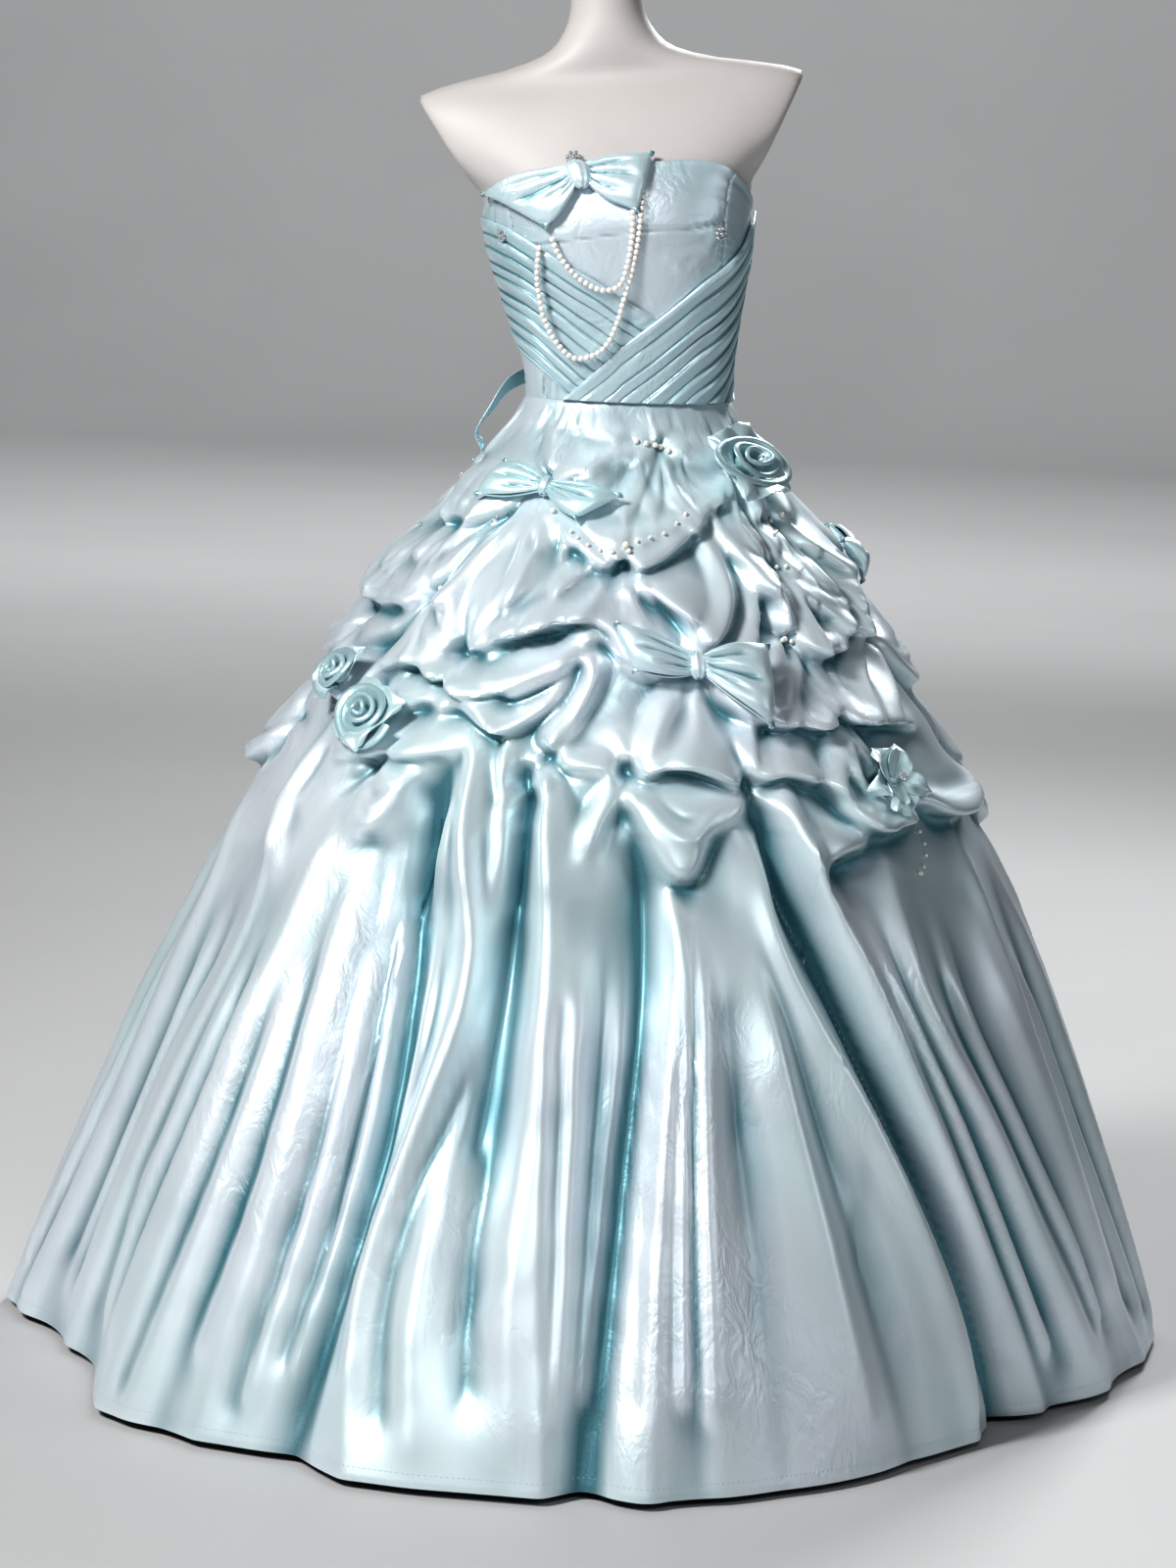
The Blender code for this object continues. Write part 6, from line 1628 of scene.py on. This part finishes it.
for number, rose in enumerate(ROSES):
    spot = skirt_plane(*rose.place)
    field = resting_field(skirt_tree, spot, 0.055, 0.055)
    towards = outward_of(spot)
    patch = np.linspace(-0.6, 0.6, 9) * rose.radius
    seat = float(np.quantile(field(*np.meshgrid(patch, patch)), 0.8)) + TRIM_CLEAR
    share = np.linspace(0.0, 1.0, ROSE_COLUMNS)[None, :]
    turns = share**0.80 * rose.turns * 2 * math.pi
    level = np.linspace(1.0, 0.0, ROSE_ROWS)[:, None]
    wave = 1 + 0.055 * np.cos(turns * 2.5 + number) * share + 0.035 * np.cos(turns * 1.4 + 2 * number)
    foot = ROSE_FOOT + (rose.radius * 0.55 - ROSE_FOOT) * share
    rim = (ROSE_HEART + (rose.radius - ROSE_HEART) * share) * wave
    rolled = smoothstep(level, 0.80, 1.0)
    radius = foot + (rim - foot) * np.clip(level / ROSE_BEND, 0, 1) ** 1.7 + 0.0034 * rolled * (0.3 + share)
    depth = rose.radius * (0.66 - 0.30 * share**1.2) + 0.0022 * np.cos(turns * 1.7 + number)
    height = depth * np.minimum(level / ROSE_BEND, 1.0) ** 0.9 - 0.0024 * rolled**2
    x = radius * np.sin(turns) * rose.stretch
    y = -radius * np.cos(turns) / rose.stretch
    tip_cos, tip_sin = math.cos(rose.tip), math.sin(rose.tip)
    x, y = x * tip_cos - y * tip_sin, x * tip_sin + y * tip_cos
    face = spot(x, y, seat + height)
    # painted shade, darker towards the foot of each turn of the band
    hollow = 0.55 * np.clip(1.0 - np.broadcast_to(level, height.shape) * 1.25, 0.0, 1.0)
    wall = ROSE_WALL + 0.0010 * soft_peak(level - 1.0, 0.10)[..., None]
    back = face - face_normals(face) * wall
    parts = [cloth_shell(f"{rose.name}_band", face, ROSE_WALL, rose_satin, hollow, back)]
    for index, (way, length) in enumerate(rose.petals):
        petal = Petal(math.degrees(way), length * 1.08, length * 0.56, rose.radius * 0.42, 0.006)
        px, py, lift = petal_grid(petal, 7 * number + index, ROSE_PETAL_ROOT)
        face = spot(px, py, np.maximum(field(px, py), seat - 0.004) + lift + 0.0012)
        parts.append(petal_shell(f"{rose.name}_petal_{index}", face, towards))
    piece = join_pieces(f"{rose.name}_cloth", parts)
    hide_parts(rose.name)
    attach(piece, "root")

flower_spot = skirt_plane(*FLOWER_PLACE)
flower_field = resting_field(skirt_tree, flower_spot, 0.06, 0.06)
flower_out = outward_of(flower_spot)
flower_seat = float(np.max(flower_field(np.linspace(-0.02, 0.02, 9), np.zeros(9)))) + TRIM_CLEAR
flower_heart = flower_spot(np.zeros(1), np.zeros(1), np.full(1, flower_seat + 0.012))[0]
parts = []
for index, petal in enumerate(FLOWER_PETALS):
    px, py, lift = petal_grid(petal, index + 20, FLOWER_PETAL_ROOT)
    out = np.maximum(flower_field(px, py), flower_seat - 0.003) + lift + 0.002 + 0.0008 * (index % 3)
    parts.append(petal_shell(f"flower_petal_{index}", flower_spot(px, py, out), flower_out))
flower = join_pieces("flower_hip_cloth", parts)
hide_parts("flower_hip")
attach(flower, "root")

# ---- Pearls and crystals ----
# Two strands of pearls hang from the neckline bow. Loose pearls, short chains and small crystals are sewn on the
# skirt, and three crystal brooches are pinned to the bodice.
PEARL_RADIUS = 0.0031
PEARL_PITCH = 0.00630
STRAND_SHORT = ((-24, 1.172), (-22, 1.160), (-16, 1.142), (-8, 1.130), (-2, 1.137), (1, 1.168), (2, 1.200))
STRAND_LONG = (
    (-29, 1.166), (-32, 1.136), (-32, 1.094), (-26, 1.062), (-19, 1.055), (-10, 1.067), (-4, 1.095), (0, 1.137),
    (3, 1.172), (5, 1.202),
)
STRAND_FACING = -12
STRAND_BRIDGING = 300
# pearls and crystals on the skirt: angle, height and radius in millimetres
SKIRT_PEARLS = (
    (5.2, 0.963, 3.0), (9.6, 0.961, 3.0), (13.9, 0.960, 3.0), (17.9, 0.958, 3.0), (21.6, 0.955, 3.0),
    (-14.9, 0.877, 2.2), (-12.5, 0.872, 2.0), (-9.4, 0.866, 2.2), (-6.0, 0.862, 2.0), (-2.7, 0.861, 2.4),
    (0.1, 0.868, 3.6), (1.2, 0.862, 2.8), (3.7, 0.872, 2.0), (7.1, 0.876, 2.0), (11.0, 0.880, 2.0),
    (15.3, 0.889, 2.0), (18.8, 0.897, 2.2), (-22.8, 0.894, 3.0), (-92.0, 0.865, 3.6), (-93.0, 0.858, 3.0),
    (-49.0, 0.812, 3.0), (63.1, 0.891, 3.0), (59.2, 0.885, 2.4), (54.0, 0.876, 2.4), (46.0, 0.844, 2.4),
    (48.3, 0.845, 2.4), (51.7, 0.843, 2.4), (38.7, 0.781, 3.2), (37.2, 0.777, 2.6), (40.1, 0.777, 2.6),
    (70.9, 0.774, 3.0), (55.9, 0.601, 2.0), (57.0, 0.588, 2.0), (57.3, 0.576, 2.0), (56.7, 0.565, 2.0),
    (55.2, 0.555, 2.2), (53.8, 0.550, 3.0), (122.0, 0.905, 3.0), (165.0, 0.915, 3.0), (-150.0, 0.908, 3.0),
    (-118.0, 0.902, 3.0), (145.0, 0.812, 3.0), (180.0, 0.784, 3.0), (-148.0, 0.804, 3.0), (-118.0, 0.776, 3.0),
    (134.0, 0.660, 3.0), (-174.0, 0.656, 3.0), (-126.0, 0.658, 3.0),
)
SKIRT_CRYSTALS = (
    (-91.4, 0.953, 2.4), (-91.4, 0.944, 2.2), (-92.6, 0.937, 2.0), (-92.6, 0.929, 2.2), (-83.0, 0.923, 2.4),
    (-75.0, 0.917, 2.2), (-81.4, 0.863, 2.6), (-60.9, 0.678, 2.8), (-62.5, 0.686, 2.2), (-44.9, 0.879, 1.6),
    (-43.6, 0.884, 1.6), (-41.4, 0.889, 1.6), (92.4, 0.842, 3.4),
)
FLOWER_CRYSTAL = 4.6
# a cut stone's rings from its table to its foot: reach, rise and twist
GEM_SIDES = 8
GEM_RINGS = ((0.55, 0.55, 0.0), (0.85, 0.38, 0.5), (1.0, 0.12, 0.0), (1.0, 0.0, 0.0), (0.45, -0.42, 0.5))
# brooches on the bodice: angle, height, radius
BROOCHES = ((-11.0, 1.2475, 0.0085), (47.0, 1.169, 0.0078), (-55.0, 1.175, 0.0070))
BROOCH_ARMS = 7


def ball_mesh(centre, radius, columns=16, rows=10):
    turns = np.arange(columns) * 2 * math.pi / columns
    rings = []
    for level in np.linspace(0, math.pi, rows + 1)[1:-1]:
        ring = (np.sin(level) * np.cos(turns), np.sin(level) * np.sin(turns), np.full(columns, np.cos(level)))
        rings.append(np.stack(ring, axis=1))
    points = np.vstack(rings + [np.array(((0, 0, 1.0), (0, 0, -1.0)))]) * radius + centre
    faces = []
    for ring in range(rows - 2):
        for column in range(columns):
            start, end = ring * columns + column, ring * columns + (column + 1) % columns
            faces.append([start, start + columns, end + columns, end])
    top, foot, last = (rows - 1) * columns, (rows - 1) * columns + 1, (rows - 2) * columns
    for column in range(columns):
        after = (column + 1) % columns
        faces.append([top, column, after])
        faces.append([foot, last + after, last + column])
    return points, faces


def gem_mesh(centre, outward, radius):
    """A round cut stone: table, crown and shallow pavilion, its table looking outwards."""
    outward = unit(np.asarray(outward, float))
    across = unit(np.cross((0.02, 0.03, 1.0), outward))
    upward = np.cross(outward, across)
    points = []
    for reach, rise, twist in GEM_RINGS:
        for side in range(GEM_SIDES):
            turn = 2 * math.pi * (side + twist) / GEM_SIDES
            arm = math.cos(turn) * across + math.sin(turn) * upward
            points.append(centre + radius * (reach * arm + rise * outward))
    faces = [list(range(GEM_SIDES))]
    for ring in range(len(GEM_RINGS) - 1):
        for side in range(GEM_SIDES):
            start, end = ring * GEM_SIDES + side, ring * GEM_SIDES + (side + 1) % GEM_SIDES
            faces.append([start, start + GEM_SIDES, end + GEM_SIDES, end])
    faces.append(list(range(len(points) - 1, len(points) - GEM_SIDES - 1, -1)))
    return np.array(points), faces


def add_small_parts(name, parts, material, smooth=True):
    points, faces, start = [], [], 0
    for part_points, part_faces in parts:
        points.append(part_points)
        faces += [[start + corner for corner in face] for face in part_faces]
        start += len(part_points)
    piece = add_piece(name, np.vstack(points), faces, material)
    if not smooth:
        piece.data.shade_flat()
    mesh_cleaner = bmesh.new()
    mesh_cleaner.from_mesh(piece.data)
    bmesh.ops.recalc_face_normals(mesh_cleaner, faces=mesh_cleaner.faces)
    mesh_cleaner.to_mesh(piece.data)
    mesh_cleaner.free()
    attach(piece, "root")
    return piece


def laid_route(route):
    """A strand's path over the bodice: it hangs on the proudest pleats and bridges the hollows."""
    turn = math.radians(STRAND_FACING)
    inward = Vector((-math.sin(turn), math.cos(turn), 0.0))
    path = smooth_curve(route, 12)
    laid = []
    for point in body_point(path[:, 0], path[:, 1], 0.045):
        gaps = []
        for sideways in (-PEARL_RADIUS, 0.0, PEARL_RADIUS):
            for upward in (-PEARL_RADIUS, 0.0, PEARL_RADIUS):
                probe = Vector(point) + Vector((sideways, 0.0, upward))
                gaps.append(bodice_tree.ray_cast(probe, inward, 0.1)[3] or 0.1)
        laid.append(Vector(point) + inward * (min(gaps) - PEARL_RADIUS - 0.0004))
    spots = np.array([tuple(point) for point in laid])
    for _ in range(STRAND_BRIDGING):
        spots[1:-1, 1] = np.minimum(spots[1:-1, 1], (spots[:-2, 1] + spots[2:, 1]) / 2)
    return spots


def evenly_along(path, pitch):
    """Points along a path at an even pitch, from its start to its end."""
    steps = np.concatenate(([0.0], np.cumsum(np.linalg.norm(np.diff(path, axis=0), axis=1))))
    count = int(round(steps[-1] / pitch))
    marks = np.linspace(0.0, steps[-1], count + 1)
    return np.stack([np.interp(marks, steps, path[:, axis]) for axis in range(3)], axis=1)


def on_skirt(angle, height, lift):
    """A point just above the skirt's cloth at an angle and height, and the cloth's normal there."""
    turn = math.radians(angle)
    outward = Vector((math.sin(turn), -math.cos(turn), 0.0))
    start = outward * 0.9 + Vector((0.0, 0.0, height))
    point, normal = skirt_tree.ray_cast(start, -outward)[:2]
    if normal.dot(outward) < 0:
        normal = -normal
    return np.array(point + normal * lift), np.array(normal)


pearl_lustre = mottled_finish(
    "pearl_lustre", (0.86, 0.815, 0.76, 1.0), (0.80, 0.76, 0.74, 1.0), 90.0, 1500.0, 0.20, 0.00002
)
set_inputs(
    pearl_lustre.node_tree.nodes["Principled BSDF"], Coat_Weight=0.8, Coat_Roughness=0.08,
    Specular_IOR_Level=0.7, Sheen_Weight=0.25, Sheen_Tint=(1.0, 0.90, 0.92, 1.0),
)
crystal = mottled_finish("clear_crystal", (0.93, 0.97, 1.0, 1.0), (0.86, 0.93, 0.98, 1.0), 60.0, 500.0, 0.03, 0.00001)
set_inputs(
    crystal.node_tree.nodes["Principled BSDF"], Transmission_Weight=0.75, IOR=1.70,
    Coat_Weight=1.0, Coat_Roughness=0.02,
)
silver = mottled_finish(
    "brooch_metal", (0.80, 0.79, 0.77, 1.0), (0.68, 0.67, 0.66, 1.0), 300.0, 2500.0, 0.22, 0.00002, metallic=1.0
)

for name, route in (("pearl_strand_short", STRAND_SHORT), ("pearl_strand_long", STRAND_LONG)):
    beads = evenly_along(laid_route(route), PEARL_PITCH)
    piece = add_small_parts(f"{name}_beads", [ball_mesh(bead, PEARL_RADIUS) for bead in beads], pearl_lustre)
    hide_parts(name)
balls = []
for angle, height, size in SKIRT_PEARLS:
    balls.append(ball_mesh(on_skirt(angle, height, size * 0.0009)[0], size * 0.001, 14, 9))
add_small_parts("skirt_pearls", balls, pearl_lustre)
seats = [(*on_skirt(angle, height, 0.0), size) for angle, height, size in SKIRT_CRYSTALS]
seats.append((flower_heart, flower_out, FLOWER_CRYSTAL))
gems = [gem_mesh(point + unit(normal) * size * 0.0006, normal, size * 0.0011) for point, normal, size in seats]
add_small_parts("skirt_crystals", gems, crystal, smooth=False)
settings, stones = [], []
for angle, height, radius in BROOCHES:
    outside = body_point(angle, height, 0.06)
    outward = unit(outside - body_point(angle, height, 0.0))
    point = bodice_tree.ray_cast(Vector(outside), Vector(-outward), 0.1)[0]
    centre = body_point(angle, height, 0.006) if point is None else np.array(point)
    centre = centre + outward * 0.0018
    across = unit(np.cross((0.0, 0.0, 1.0), outward))
    upward = np.cross(outward, across)
    stones.append(gem_mesh(centre + outward * 0.0016, outward, radius * 0.38))
    settings.append(ball_mesh(centre - outward * 0.0005, radius * 0.34, 12, 8))
    for step in range(BROOCH_ARMS):
        turn = 2 * math.pi * step / BROOCH_ARMS + 0.3
        arm = (math.cos(turn) * across + math.sin(turn) * upward) * radius * 0.72
        stones.append(gem_mesh(centre + arm + outward * 0.0006, outward, radius * 0.26))
        settings.append(ball_mesh(centre + arm - outward * 0.0008, radius * 0.24, 10, 6))
add_small_parts("brooch_settings", settings, silver)
add_small_parts("brooch_stones", stones, crystal, smooth=False)

# ---- Hem stitching ----
# One row of machine stitches runs round the skirt just above its hem; each is a short raised bar of thread.
STITCH_HEIGHT = HEM_HEIGHT + 0.012
STITCH_COUNT = 720
STITCH_HALF_LENGTH = 0.0017
STITCH_HALF_WIDTH = 0.00035
STITCH_PROUD = 0.0003
STITCH_FACES = ((0, 1, 4), (1, 2, 4), (2, 3, 4), (3, 0, 4), (1, 0, 5), (2, 1, 5), (3, 2, 5), (0, 3, 5))

sewing_thread = mottled_finish(
    "sewing_thread", (0.40, 0.62, 0.66, 1.0), (0.34, 0.55, 0.60, 1.0), 80.0, 2000.0, 0.45, 0.00003
)
seats = [on_skirt(360.0 * number / STITCH_COUNT, STITCH_HEIGHT, 0.0001) for number in range(STITCH_COUNT)]
stitches = []
for number, (centre, normal) in enumerate(seats):
    along = unit(seats[(number + 1) % STITCH_COUNT][0] - seats[number - 1][0])
    upward = np.cross(normal, along)
    long, wide = along * STITCH_HALF_LENGTH, upward * STITCH_HALF_WIDTH
    crown = normal * STITCH_PROUD
    points = np.array((centre - long, centre - wide, centre + long, centre + wide, centre + crown, centre - crown))
    stitches.append((points, STITCH_FACES))
add_small_parts("hem_stitches", stitches, sewing_thread)

# ---- Ribbon tie ----
# A narrow satin ribbon comes from the back of the waist, hangs free at the left and lies on the skirt.
RIBBON_ON_BODICE = ((-172, 1.022, 0.0004), (-152, 1.023, 0.0025), (-133, 1.024, 0.0060))
RIBBON_FREE = ((-0.1240, 0.0400, 1.009), (-0.1440, 0.0260, 0.982), (-0.1570, 0.0250, 0.958))
RIBBON_ON_SKIRT = ((-101, 0.936), (-106, 0.912))
RIBBON_HALF_WIDTH = 0.008
RIBBON_WALL = 0.0009
RIBBON_ROWS = 13

ribbon_points = [
    body_point(angle, height, BODICE_OUT + LAYER_CLEARANCE + lift) for angle, height, lift in RIBBON_ON_BODICE
]
ribbon_points += [np.array(point) for point in RIBBON_FREE]
ribbon_points += [on_skirt(angle, height, 0.004)[0] for angle, height in RIBBON_ON_SKIRT]
ribbon_path = smooth_curve(ribbon_points, 14)
tangents = unit(np.gradient(ribbon_path, axis=0))
outward = unit(ribbon_path * np.array((1.0, 1.0, 0.0)))
breadth = unit(np.cross(outward, tangents))
ribbon_normal = np.cross(tangents, breadth)
ribbon_rows = []
for share in np.linspace(-1.0, 1.0, RIBBON_ROWS):
    curl = 0.0009 * (share**2 - 0.3) * np.sin(np.linspace(0, 9, len(ribbon_path)))
    ribbon_rows.append(ribbon_path + breadth * RIBBON_HALF_WIDTH * share + ribbon_normal * curl[:, None])
ribbon_face = np.array(ribbon_rows)
if np.sum(face_normals(ribbon_face) * outward[None]) < 0:
    ribbon_face = ribbon_face[::-1]
ribbon = cloth_shell("ribbon_tie_cloth", ribbon_face, RIBBON_WALL, bow_satin)
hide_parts("ribbon_tie")
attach(ribbon, "root")

# ---- Bounds ----
# The boxes of the solids and of the finished gown are put side by side.
gown_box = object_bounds()
[[list(corner) for corner in box] for box in (solid_box, gown_box)]
